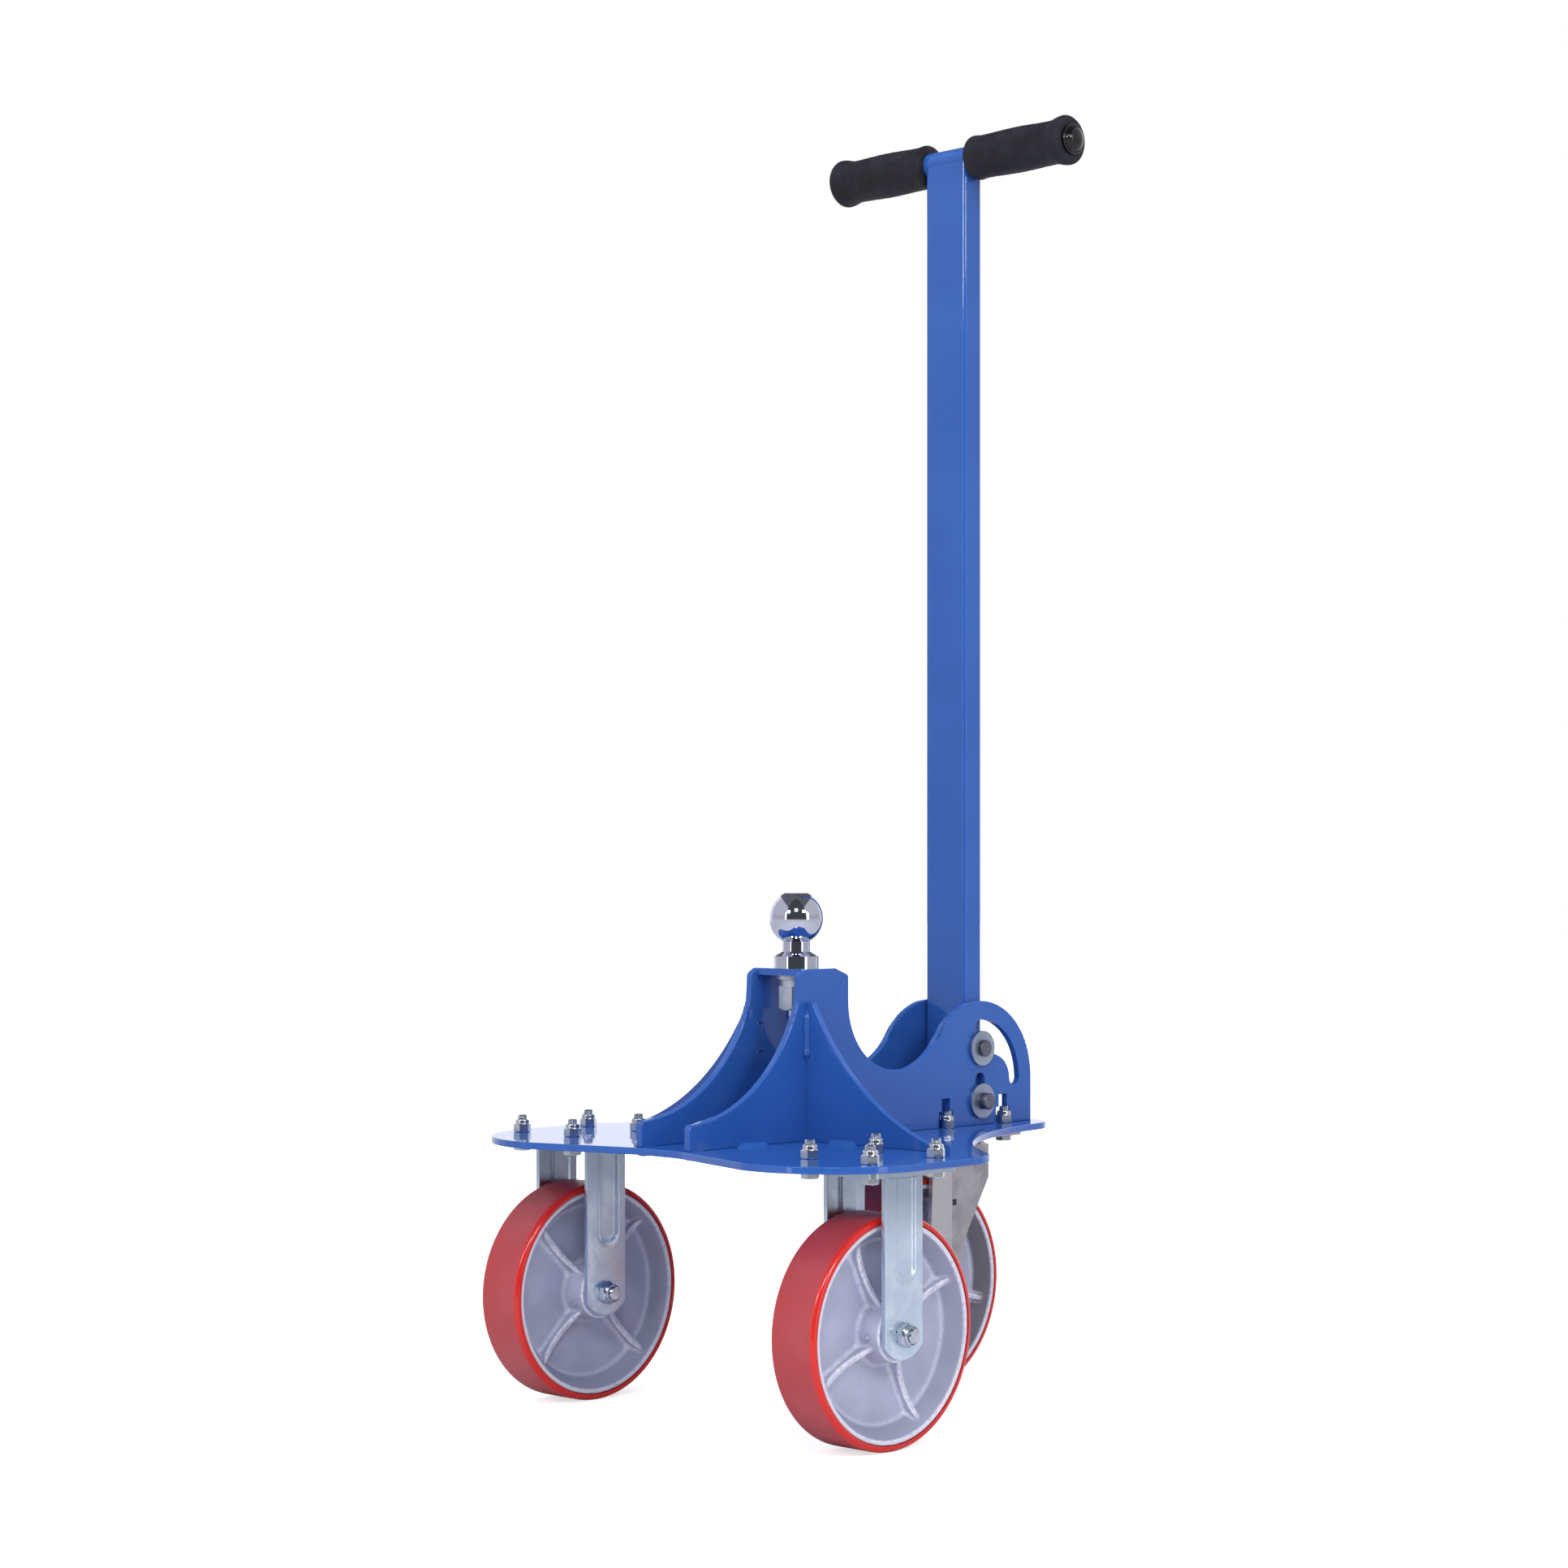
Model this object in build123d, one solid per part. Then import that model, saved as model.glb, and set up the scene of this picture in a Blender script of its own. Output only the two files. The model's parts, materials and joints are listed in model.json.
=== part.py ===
from build123d import *
import os
from math import acos, atan2, cos, dist, pi, sin, sqrt, tan

# Hitch mover: a deck plate on two rigid casters and one swivel caster, with a hitch ball on a pair of
# upright side plates and a tall handle that lifts out of its seat and folds back.
# Millimetres. Z is up from the floor, the ball end is towards minus Y and the handle end towards plus Y.
# Left is plus X, as the operator behind the handle sees it. "From ball" is measured from the ball's axis.

# Deck plate
deck_thickness = 6.35
deck_length = 520.7
deck_front_from_ball = 209.2
deck_half_width = 249.5
deck_side_length = 197.5
deck_notch_depth = 34.5
deck_notch_half_width = 24.0
deck_lobe_length = 110.5
deck_waist_half_width = 86.0
deck_waist_from_ball = 113.5
deck_tail_half_width = 57.5
deck_notch_radius = 75.0
deck_shoulder_radius = 28.0
deck_side_radius = 45.0
deck_tail_radius = 44.5
deck_straight = 6.4
plate_edge_radius = 1.0

# Side plates, heights above the deck
plate_thickness = 7.0
plate_gap = 54.6
plate_front_from_ball = 170.0
plate_nose_length = 8.0
plate_nose_height = 23.1
plate_nose_radius = 5.0
front_arc_radius = 150.5
neck_from_ball = 32.0
neck_height = 128.0
tower_height = 156.15
tower_front_from_ball = 30.5
tower_rear_from_ball = 34.54
tower_front_bevel_length = 8.5
tower_front_bevel_drop = 5.0
tower_rear_bevel_length = 17.0
tower_rear_bevel_drop = 6.5
tower_corner_radius = 4.0
saddle_height = 58.75
saddle_round_share = 0.97
tower_rear_straight = 18.0
ear_radius = 76.0
front_tab_setback = 2.5
front_tab_length = 15.0
front_tab_drop = 2.0
weld_gap = 0.1

# Gussets
gusset_thickness = 6.35
gusset_from_ball = 19.0
gusset_height = 126.15
gusset_top_width = 7.2
gusset_reach = 150.7
gusset_toe_height = 5.8
gusset_arc_radius = 242.0
gusset_tab_low = 79.2
gusset_tab_high = 104.2
gusset_slot_end_gap = 0.8

# Hitch ball and its seat
ball_diameter = 50.8
ball_center_height = 46.3
ball_flat_height = 22.8
ball_neck_diameter = 26.4
ball_collar_diameter = 42.7
ball_collar_height = 10.9
ball_cone_height = 4.5
ball_shank_diameter = 19.05
ball_shank_length = 48.0
ball_plate_thickness = 6.35
ball_plate_front = 24.0
ball_plate_rear = 24.0
ball_flat_washer_diameter = 37.0
ball_flat_washer_thickness = 4.0
ball_lock_washer_diameter = 31.0
ball_lock_washer_thickness = 6.4
ball_lock_washer_split = 3.0
ball_nut_across = 28.6
ball_nut_height = 22.0

# Casters
caster_from_side = 62.25
caster_from_front = 110.7
kingpin_from_rear = 99.5
wheel_lead = 55.5
wheel_headroom = 35.5
caster_plate_width = 101.6
caster_plate_length = 108.0
caster_plate_thickness = 4.8
caster_plate_corner = 8.0
bolt_spacing_x = 70.4
bolt_spacing_y = 83.4

# Wheels
wheel_diameter = 203.2
wheel_width = 50.8
tread_thickness = 5.9
tread_corner = 5.0
rim_inset = 0.5
rim_lip = 3.8
rim_root = 15.7
web_thickness = 14.0
web_fillet = 3.5
hub_diameter = 52.0
hub_draft = 1.5
hub_end_gap = 2.2
rib_count = 4
rib_thickness = 8.4
rib_crest = 3.2
rib_hub_setback = 5.0
rib_rim_setback = 2.5
rib_dip = 9.5
left_rib_angle = 26.0
right_rib_angle = 45.0
rear_rib_angle = -15.0

# Axles
axle_diameter = 12.7
axle_nut_across = 19.05
axle_nut_hex_height = 7.0
axle_nut_height = 10.2
axle_head_height = 8.0
axle_end_length = 2.2
sleeve_diameter = 19.05
bearing_diameter = 30.2
bearing_setback = 1.0
thrust_washer_diameter = 34.0
fitting_angle = 157.0
fitting_hex_across = 5.0
fitting_hex_height = 1.6
fitting_height = 4.2
fitting_from_hub_end = 11.0

# Fork legs
leg_gap = 63.0
leg_thickness = 4.76
leg_width = 47.6
leg_below_axle = 21.6
leg_foot_radius = 29.0
groove_width = 29.0
groove_depth = 3.0
groove_taper = 45.0
groove_above_axle = 46.4

# Swivel fork and its race, lengths along Y from the kingpin
fork_top_thickness = 6.0
fork_front_from_kingpin = 59.5
fork_rear_from_kingpin = 18.0
fork_shin_from_axle = 7.5
fork_shin_height = 43.4
fork_heel_height = 97.4
fork_calf_from_axle = 41.5
fork_calf_height = 45.4
fork_foot_radius = 20.0
fork_hole_size = 5.8
fork_hole_from_kingpin = 32.0
fork_hole_height = 76.8
fork_head_clearance = 1.2
race_radius = 28.0
race_ball_diameter = 8.0
race_ball_count = 16
race_boss_depth = 3.0
race_wall = 8.0
kingpin_diameter = 16.0
kingpin_head_diameter = 26.0
kingpin_head_height = 2.2
kingpin_nut_across = 24.0
kingpin_nut_height = 13.0
kingpin_end_length = 2.0

# Deck bolts
bolt_diameter = 9.53
bolt_across = 14.3
bolt_head_height = 6.0
deck_nut_hex_height = 8.0
deck_nut_height = 11.9
bolt_end_length = 4.5
bolt_tip_chamfer = 1.0
nut_collar_share = 0.88
notch_side_gap = 1.5
notch_top_gap = 3.6
bolt_notch_side_gap = 1.0
bolt_notch_top_gap = 11.2

# Handle
handle_behind_kingpin = 8.0
tube_width = 50.8
tube_depth = 25.4
tube_wall = 3.0
tube_corner = 4.0
tube_below_pin = 18.0
lower_pin_height = 23.15
pin_spacing = 50.8
handle_length = 910.0
handle_lift = 20.3
fold_angle = 90.0
pin_diameter = 12.7
pin_head_diameter = 15.9
upper_pin_head_height = 4.5
lower_pin_head_height = 8.5
pin_groove_share = 0.35
pin_groove_width = 0.9
pin_groove_depth = 0.9
pin_end_length = 6.0
pin_washer_diameter = 33.5
pin_washer_thickness = 3.2
pin_washer_gap = 0.8
cotter_diameter = 3.0
cotter_length = 24.0
cotter_eye_radius = 3.2
bar_diameter = 25.4
bar_wall = 2.1
bar_half_length = 147.0
cope_trim = 3.0
grip_start = 28.0
grip_diameter = 43.0
grip_inner_flare_diameter = 43.6
grip_outer_flare_diameter = 46.6
grip_neck_diameter = 41.0
grip_inner_flare_length = 12.5
grip_outer_flare_length = 21.0
grip_end_radius = 5.0
cap_diameter = 29.6
cap_rim = 3.0
cap_height = 9.0
cap_stub_length = 20.0

# Clearances
running_gap = 0.06
slide_gap = 0.3
seat_gap = 0.1
thread_gap = 0.05
bolt_hole_gap = 0.4
race_groove_gap = 0.15
slot_gap = 0.65
relief_gap = 0.9

# Worked-out levels and places
deck_front_y = -deck_length / 2
deck_rear_y = deck_length / 2
ball_y = deck_front_y + deck_front_from_ball
half_track = deck_half_width - caster_from_side
front_axle_y = deck_front_y + caster_from_front
kingpin_y = deck_rear_y - kingpin_from_rear
rear_axle_y = kingpin_y - wheel_lead
handle_y = kingpin_y + handle_behind_kingpin
gusset_y = ball_y - gusset_from_ball
axle_z = wheel_diameter / 2
caster_plate_bottom = wheel_diameter + wheel_headroom
deck_bottom = caster_plate_bottom + caster_plate_thickness
deck_top = deck_bottom + deck_thickness
tower_top = deck_top + tower_height
plate_inner = plate_gap / 2
plate_outer = plate_inner + plate_thickness
lower_pin_z = deck_top + lower_pin_height
upper_pin_z = lower_pin_z + pin_spacing
raised_pin_z = lower_pin_z + handle_lift
bar_z = lower_pin_z + handle_length
leg_inner = leg_gap / 2
leg_outer = leg_inner + leg_thickness
hub_half = leg_inner - hub_end_gap
core_radius = axle_z - tread_thickness
boss_bottom = caster_plate_bottom - race_boss_depth
fork_top = caster_plate_bottom - bolt_head_height - fork_head_clearance
fork_under = fork_top - fork_top_thickness
deck_nut_top = deck_top + deck_nut_height
bolt_end_z = deck_nut_top + bolt_end_length
caster_places = [(half_track, front_axle_y), (-half_track, front_axle_y), (0, kingpin_y)]
base_align = (Align.CENTER, Align.CENTER, Align.MIN)
side_align = (Align.MIN, Align.CENTER, Align.MIN)
hung_align = (Align.CENTER, Align.CENTER, Align.MAX)

parts = {}


def rod(radius, length):
    """Round bar from the ground plane upwards."""
    return Cylinder(radius, length, align=base_align)


def ring(outer_diameter, bore_radius, thickness):
    """Flat ring standing on the ground plane."""
    return rod(outer_diameter / 2, thickness) - rod(bore_radius, thickness)


def along_x(shape):
    """Turn a shape made along Z so that it runs along plus X."""
    return Rot(0, 90, 0) * shape


def hex_block(across, height):
    """Hexagon with its upper corners turned off."""
    corner = across / sqrt(3)
    blank = extrude(RegularPolygon(across / 2, 6, major_radius=False), height)
    turned = rod(corner, height)
    turned = chamfer(turned.edges().sort_by(Axis.Z)[-1], corner - across / 2)
    return blank & turned


def lock_nut(across, hex_height, height, bolt_radius):
    """Hexagon nut with a round locking collar on top."""
    collar = rod(across / 2 * nut_collar_share, height)
    collar = fillet(collar.edges().sort_by(Axis.Z)[-1], (height - hex_height) / 2)
    return hex_block(across, hex_height) + collar - rod(bolt_radius + thread_gap, height)


def bolt(diameter, length, across, head_height):
    """Hexagon bolt standing on its head, with the head below the ground plane."""
    shank = rod(diameter / 2, length)
    shank = chamfer(shank.edges().sort_by(Axis.Z)[-1], bolt_tip_chamfer)
    head = Rot(180, 0, 0) * hex_block(across, head_height)
    return shank + head


def mirrored(points):
    """Points of a half outline at plus X, followed by their images at minus X."""
    return points + [(-x, y) for x, y in reversed(points)]


def round_corners(outline, corners):
    """Round each named corner of a flat outline."""
    for place, radius in corners:
        corner = outline.vertices().sort_by_distance(place)[0]
        outline = fillet(corner, radius)
    return outline


def half_turn(before, corner, after):
    """Tangent of half the turn that an outline makes at a corner."""
    way_in = atan2(corner[1] - before[1], corner[0] - before[0])
    way_out = atan2(after[1] - corner[1], after[0] - corner[0])
    return abs(tan((way_out - way_in) / 2))


def soften(plate, axis, lowest):
    """Round the long edges of both broad faces, above the welded foot."""
    faces = plate.faces().sort_by(axis)
    edges = faces[0].outer_wire().edges() + faces[-1].outer_wire().edges()
    free = [edge for edge in edges if edge.center().Z > lowest]
    return fillet(free, plate_edge_radius)


def tangent_point(point, centre, radius, side):
    """Point where a line from a point touches a circle, on the given side."""
    dx = point[0] - centre[0]
    dy = point[1] - centre[1]
    turn = atan2(dy, dx) + side * acos(radius / sqrt(dx * dx + dy * dy))
    return (centre[0] + radius * cos(turn), centre[1] + radius * sin(turn))


# Deck plate
def bolt_places(place):
    """The four bolt centres of a caster plate."""
    return [
        (place[0] + sx * bolt_spacing_x / 2, place[1] + sy * bolt_spacing_y / 2)
        for sx in (-1, 1)
        for sy in (-1, 1)
    ]


all_bolts = [spot for place in caster_places for spot in bolt_places(place)]
bolt_hole_radius = bolt_diameter / 2 + bolt_hole_gap
front_tab_y = ball_y - plate_front_from_ball + front_tab_setback + front_tab_length / 2


def deck():
    """Deck plate with its bolt holes and the slots for the side plates' tabs."""
    front = deck_front_y
    rear = deck_rear_y
    notch = (deck_notch_half_width, front + deck_notch_depth)
    lobe = (deck_half_width - deck_lobe_length, front)
    corner = (deck_half_width, front)
    side = (deck_half_width, front + deck_side_length)
    waist = (deck_waist_half_width, ball_y + deck_waist_from_ball)
    tail = (deck_tail_half_width, rear)
    shoulder_reach = deck_shoulder_radius * half_turn(notch, lobe, corner)
    side_reach = deck_side_radius * half_turn(corner, side, waist)
    tail_reach = deck_tail_radius * half_turn(waist, tail, (0, rear))
    waist_reach = min(dist(side, waist) - side_reach, dist(waist, tail) - tail_reach) - deck_straight
    rounding = [
        (notch, deck_notch_radius),
        (lobe, deck_shoulder_radius),
        (corner, deck_lobe_length - shoulder_reach - deck_straight),
        (side, deck_side_radius),
        (waist, waist_reach / half_turn(side, waist, tail)),
        (tail, deck_tail_radius),
    ]
    outline = make_face(Polyline(*mirrored([notch, lobe, corner, side, waist, tail]), close=True))
    both_sides = rounding + [((-spot[0], spot[1]), radius) for spot, radius in rounding]
    outline = round_corners(outline, both_sides)
    plate = extrude(Pos(0, 0, deck_bottom) * outline, deck_thickness)
    plate = soften(plate, Axis.Z, 0)
    holes = [Pos(x, y, deck_bottom) * rod(bolt_hole_radius, deck_thickness) for x, y in all_bolts]
    slot_width = plate_thickness + 2 * weld_gap
    slot = Box(slot_width, front_tab_length + 2 * weld_gap, deck_thickness, align=base_align)
    middle = plate_inner + plate_thickness / 2
    slots = [Pos(side * middle, front_tab_y, deck_bottom) * slot for side in (-1, 1)]
    return plate - holes - slots


parts["deck_plate"] = deck()


# Side plates
def upright_box(middle, half_width, low, high):
    """Rectangle drawn in Y and Z."""
    return Pos(middle, (low + high) / 2) * Rectangle(2 * half_width, high - low)


def nut_notch(y):
    """Stepped notch that lets a deck nut and its bolt end pass through a side plate's foot."""
    nut_half = bolt_across / sqrt(3) + notch_side_gap
    bolt_half = bolt_diameter / 2 + bolt_notch_side_gap
    nut_z = deck_nut_top + notch_top_gap
    bolt_z = bolt_end_z + bolt_notch_top_gap
    return upright_box(y, nut_half, deck_top, nut_z) + upright_box(y, bolt_half, deck_top, bolt_z)


def fold_path(share):
    """Centre of the upper pin, in Y and Z, after a share of the fold and of the lift."""
    turn = share * fold_angle * pi / 180
    y = handle_y + pin_spacing * sin(turn)
    z = lower_pin_z + share * handle_lift + pin_spacing * cos(turn)
    return (y, z)


def pin_slots():
    """Straight slot of the lower pin, hooked slot of the upper pin and the room for its sweep."""
    width = pin_diameter + 2 * slide_gap
    arc_width = pin_diameter + 2 * slot_gap
    sweep_width = pin_diameter + 2 * relief_gap
    reach = pin_spacing * sin(pi / 4)
    raised_top = (handle_y, raised_pin_z + pin_spacing)
    raised_mid = (handle_y + reach, raised_pin_z + reach)
    raised_end = (handle_y + pin_spacing, raised_pin_z)
    lower = SlotArc(Line((handle_y, lower_pin_z), (handle_y, raised_pin_z)), width)
    foot = SlotArc(Line((handle_y, upper_pin_z), raised_top), width)
    hook = SlotArc(ThreePointArc(raised_top, raised_mid, raised_end), arc_width)
    sweep_a = SlotArc(ThreePointArc(fold_path(0), fold_path(0.25), fold_path(0.5)), sweep_width)
    sweep_b = SlotArc(ThreePointArc(fold_path(0.5), fold_path(0.75), fold_path(1)), sweep_width)
    between = Polygon(fold_path(0), fold_path(0.5), raised_mid, raised_top, align=None)
    return lower + foot + hook + sweep_a + sweep_b + between


def side_plate():
    """Left side plate: nose, tower for the ball, saddle and the rounded ear that holds the handle's pins."""
    front_y = ball_y - plate_front_from_ball
    nose_z = deck_top + plate_nose_height
    nose = (front_y, nose_z)
    arc_start = (front_y + plate_nose_length, nose_z)
    neck = (ball_y - neck_from_ball, deck_top + neck_height)
    tower_front_y = ball_y - tower_front_from_ball
    tower_rear_y = ball_y + tower_rear_from_ball
    ear = (handle_y, raised_pin_z)
    run = handle_y - tower_rear_y
    drop = raised_pin_z - deck_top - saddle_height
    total = run + drop + ear_radius
    round_between = saddle_round_share * (total - sqrt(total**2 - run**2 - drop**2 + ear_radius**2))
    round_below = tower_height - tower_rear_bevel_drop - tower_rear_straight - saddle_height
    saddle_radius = min(round_between, round_below)
    saddle_low = deck_top + saddle_height
    saddle_z = saddle_low + saddle_radius
    reach = ear_radius + saddle_radius
    floor_start = (tower_rear_y + saddle_radius, saddle_z)
    floor_end = (handle_y - sqrt(reach**2 - (saddle_z - raised_pin_z) ** 2), saddle_z)
    ear_angle = atan2(ear[1] - floor_end[1], ear[0] - floor_end[0]) * 180 / pi
    share = ear_radius / reach
    turn_point = (ear[0] + share * (floor_end[0] - ear[0]), ear[1] + share * (floor_end[1] - ear[1]))
    rear_y = handle_y + ear_radius
    tower_corners = [
        (tower_front_y, tower_top - tower_front_bevel_drop),
        (tower_front_y + tower_front_bevel_length, tower_top),
        (tower_rear_y - tower_rear_bevel_length, tower_top),
        (tower_rear_y, tower_top - tower_rear_bevel_drop),
    ]
    edges = [
        Polyline((front_y, deck_top), nose, arc_start),
        RadiusArc(arc_start, neck, -front_arc_radius),
        Polyline(neck, *tower_corners, (tower_rear_y, saddle_z)),
        CenterArc(floor_start, saddle_radius, 180, 90),
        Line((floor_start[0], saddle_low), (floor_end[0], saddle_low)),
        CenterArc(floor_end, saddle_radius, -90, 90 + ear_angle),
        ThreePointArc(turn_point, (ear[0], ear[1] + ear_radius), (rear_y, ear[1])),
        Polyline((rear_y, ear[1]), (rear_y, deck_top), (front_y, deck_top)),
    ]
    outline = make_face(edges)
    rounded = [(corner, tower_corner_radius) for corner in tower_corners]
    outline = round_corners(outline, [(nose, plate_nose_radius), *rounded])
    plate = extrude(Plane.YZ.offset(plate_inner) * outline, plate_thickness)
    plate = soften(plate, Axis.X, deck_top + plate_edge_radius)
    cuts = pin_slots()
    for sy in (-1, 1):
        cuts += nut_notch(kingpin_y + sy * bolt_spacing_y / 2)
    slot_half = gusset_thickness / 2 + weld_gap
    slot_low = deck_top + gusset_tab_low - gusset_slot_end_gap
    slot_high = deck_top + gusset_tab_high + gusset_slot_end_gap
    cuts += upright_box(gusset_y, slot_half, slot_low, slot_high)
    plate -= extrude(Plane.YZ.offset(plate_inner) * cuts, plate_thickness)
    tab_depth = deck_thickness + front_tab_drop
    tab = Box(plate_thickness, front_tab_length, tab_depth, align=hung_align)
    return plate + Pos(plate_inner + plate_thickness / 2, front_tab_y, deck_top) * tab


parts["side_plate_left"] = side_plate()
parts["side_plate_right"] = mirror(parts["side_plate_left"], about=Plane.YZ)


# Gussets
def gusset():
    """Left gusset: a curved web between side plate and deck, with a tab through the side plate."""
    foot = plate_outer + gusset_reach
    top_z = deck_top + gusset_height
    toe = (foot, deck_top + gusset_toe_height)
    shoulder = (plate_outer + gusset_top_width, top_z)
    edges = [
        Line((plate_outer, deck_top), (foot, deck_top)),
        Line((foot, deck_top), toe),
        RadiusArc(toe, shoulder, gusset_arc_radius),
        Line(shoulder, (plate_outer, top_z)),
        Line((plate_outer, top_z), (plate_outer, deck_top)),
    ]
    plane = Plane(origin=(0, gusset_y, 0), x_dir=(1, 0, 0), z_dir=(0, -1, 0))
    web = extrude(plane * make_face(edges), gusset_thickness / 2, both=True)
    tab_height = gusset_tab_high - gusset_tab_low
    tab = Box(plate_thickness, gusset_thickness, tab_height, align=base_align)
    return web + Pos(plate_inner + plate_thickness / 2, gusset_y, deck_top + gusset_tab_low) * tab


parts["gusset_left"] = gusset()
parts["gusset_right"] = mirror(parts["gusset_left"], about=Plane.YZ)


# Ball plate, ball and its fastening
ball_axis = Pos(0, ball_y, 0)
ball_plate_under = tower_top - ball_plate_thickness
shank_radius = ball_shank_diameter / 2


def ball_plate():
    """Cap welded between the side plates under the ball."""
    length = ball_plate_front + ball_plate_rear
    middle = (ball_plate_rear - ball_plate_front) / 2
    cap = Box(plate_gap - 2 * weld_gap, length, ball_plate_thickness, align=base_align)
    cap = Pos(0, middle, 0) * cap
    cap -= rod(shank_radius + bolt_hole_gap, ball_plate_thickness)
    return ball_axis * Pos(0, 0, ball_plate_under) * cap


def hitch_ball():
    """Flat-topped ball with neck, cone, collar and threaded shank, in one turned piece."""
    radius = ball_diameter / 2
    neck = ball_neck_diameter / 2
    collar = ball_collar_diameter / 2
    center_z = tower_top + ball_center_height
    collar_z = tower_top + ball_collar_height
    neck_z = center_z - sqrt(radius**2 - neck**2)
    flat = sqrt(radius**2 - ball_flat_height**2)
    flat_z = center_z + ball_flat_height
    end_z = tower_top - ball_shank_length
    edges = [
        Polyline(
            (0, flat_z),
            (0, end_z),
            (shank_radius, end_z),
            (shank_radius, tower_top),
            (collar, tower_top),
            (collar, collar_z),
            (neck, collar_z + ball_cone_height),
            (neck, neck_z),
        ),
        ThreePointArc((neck, neck_z), (radius, center_z), (flat, flat_z)),
        Line((flat, flat_z), (0, flat_z)),
    ]
    return ball_axis * revolve(Plane.XZ * make_face(edges), Axis.Z)


flat_washer_z = ball_plate_under - ball_flat_washer_thickness
lock_washer_z = flat_washer_z - ball_lock_washer_thickness
ball_nut_z = lock_washer_z - ball_nut_height
lock_washer = ring(ball_lock_washer_diameter, shank_radius + seat_gap, ball_lock_washer_thickness)
split = Box(ball_lock_washer_diameter, ball_lock_washer_split, ball_lock_washer_thickness, align=side_align)
flat_washer = ring(ball_flat_washer_diameter, shank_radius + bolt_hole_gap, ball_flat_washer_thickness)
ball_nut = Pos(0, 0, ball_nut_height) * Rot(180, 0, 0) * hex_block(ball_nut_across, ball_nut_height)
ball_nut -= rod(shank_radius + thread_gap, ball_nut_height)
parts["ball_plate"] = ball_plate()
parts["hitch_ball"] = hitch_ball()
parts["ball_flat_washer"] = ball_axis * Pos(0, 0, flat_washer_z) * flat_washer
parts["ball_lock_washer"] = ball_axis * Pos(0, 0, lock_washer_z) * (lock_washer - split)
parts["ball_nut"] = ball_axis * Pos(0, 0, ball_nut_z) * ball_nut

# Wheels, made about the X axis
bearing_radius = bearing_diameter / 2
sleeve_radius = sleeve_diameter / 2
rim_half = wheel_width / 2 - rim_inset


def wheel_core():
    """Cast hub, web and rim, with ribs on both faces of the web."""
    web_half = web_thickness / 2
    hub_radius = hub_diameter / 2
    half = [
        (hub_half, bearing_radius + seat_gap),
        (hub_half, hub_radius - hub_draft),
        (web_half, hub_radius + hub_draft),
        (web_half, core_radius - rim_root),
        (rim_half, core_radius - rim_lip),
        (rim_half, core_radius),
    ]
    outline = make_face(Polyline(*mirrored(half), close=True))
    corners = [(x, y) for x, y in mirrored(half) if abs(x) == web_half]
    outline = round_corners(outline, [(spot, web_fillet) for spot in corners])
    core = revolve(outline, Axis.X)
    root = (bearing_radius + hub_radius) / 2
    tip = core_radius - rim_lip / 2
    crest_mid = (hub_radius + core_radius - rim_root) / 2
    hub_x = hub_half - rib_hub_setback
    rim_x = rim_half - rib_rim_setback
    dip_x = (hub_x + rim_x) / 2 - rib_dip
    edges = [
        ThreePointArc((hub_x, root), (dip_x, crest_mid), (rim_x, tip)),
        Line((rim_x, tip), (-rim_x, tip)),
        ThreePointArc((-rim_x, tip), (-dip_x, crest_mid), (-hub_x, root)),
        Line((-hub_x, root), (hub_x, root)),
    ]
    crest_x = max(hub_x, rim_x)
    half_section = [(-crest_x, rib_crest / 2), (0, rib_thickness / 2), (crest_x, rib_crest / 2)]
    section = half_section + [(x, -y) for x, y in reversed(half_section)]
    draft = Rot(-90, 0, 0) * extrude(make_face(Polyline(*section, close=True)), tip)
    rib = extrude(make_face(edges), rib_thickness / 2, both=True) & draft
    return core + [Rot(number * 360 / rib_count, 0, 0) * rib for number in range(rib_count)]


def wheel_tread():
    """Moulded tread with rounded shoulders."""
    half = wheel_width / 2
    inner = core_radius + seat_gap
    outline = make_face(Polyline((half, inner), (half, axle_z), (-half, axle_z), (-half, inner), close=True))
    outline = round_corners(outline, [((half, axle_z), tread_corner), ((-half, axle_z), tread_corner)])
    return revolve(outline, Axis.X)


def grease_fitting():
    """Grease fitting on the hub's sloping side, standing along plus Y: hexagon, stem and ball tip."""
    slope = 2 * hub_draft / (hub_half - web_thickness / 2)
    seat_radius = hub_diameter / 2 - hub_draft + slope * fitting_from_hub_end + seat_gap
    lean = atan2(slope, 1) * 180 / pi
    tip_radius = fitting_hex_across / 3
    tip_height = fitting_height - tip_radius
    fitting = hex_block(fitting_hex_across, fitting_hex_height)
    fitting += rod(tip_radius * nut_collar_share, tip_height)
    fitting += Pos(0, 0, tip_height) * Sphere(tip_radius)
    stand = Pos(hub_half - fitting_from_hub_end, seat_radius, 0)
    return stand * Rot(0, 0, -lean) * Rot(-90, 0, 0) * fitting


core_blank = wheel_core()
tread_blank = wheel_tread()
fitting_blank = grease_fitting()
bearing_half = hub_half - bearing_setback
bearing_ring = ring(bearing_diameter, sleeve_radius + running_gap, 2 * bearing_half)
bearing_blank = Pos(-bearing_half, 0, 0) * along_x(bearing_ring)

# Axle sets, made about the X axis: bolt, nut, sleeve and thrust washers
axle_radius = axle_diameter / 2
axle_length = 2 * leg_outer + axle_nut_height + axle_end_length
axle_bolt = bolt(axle_diameter, axle_length, axle_nut_across, axle_head_height)
axle_bolt_blank = Pos(-leg_outer, 0, 0) * along_x(axle_bolt)
axle_nut = lock_nut(axle_nut_across, axle_nut_hex_height, axle_nut_height, axle_radius)
axle_nut_blank = Pos(leg_outer, 0, 0) * along_x(axle_nut)
sleeve_half = leg_inner - seat_gap
sleeve_ring = ring(sleeve_diameter, axle_radius + slide_gap, 2 * sleeve_half)
sleeve_blank = Pos(-sleeve_half, 0, 0) * along_x(sleeve_ring)
thrust_thickness = hub_end_gap - 2 * slide_gap
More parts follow.
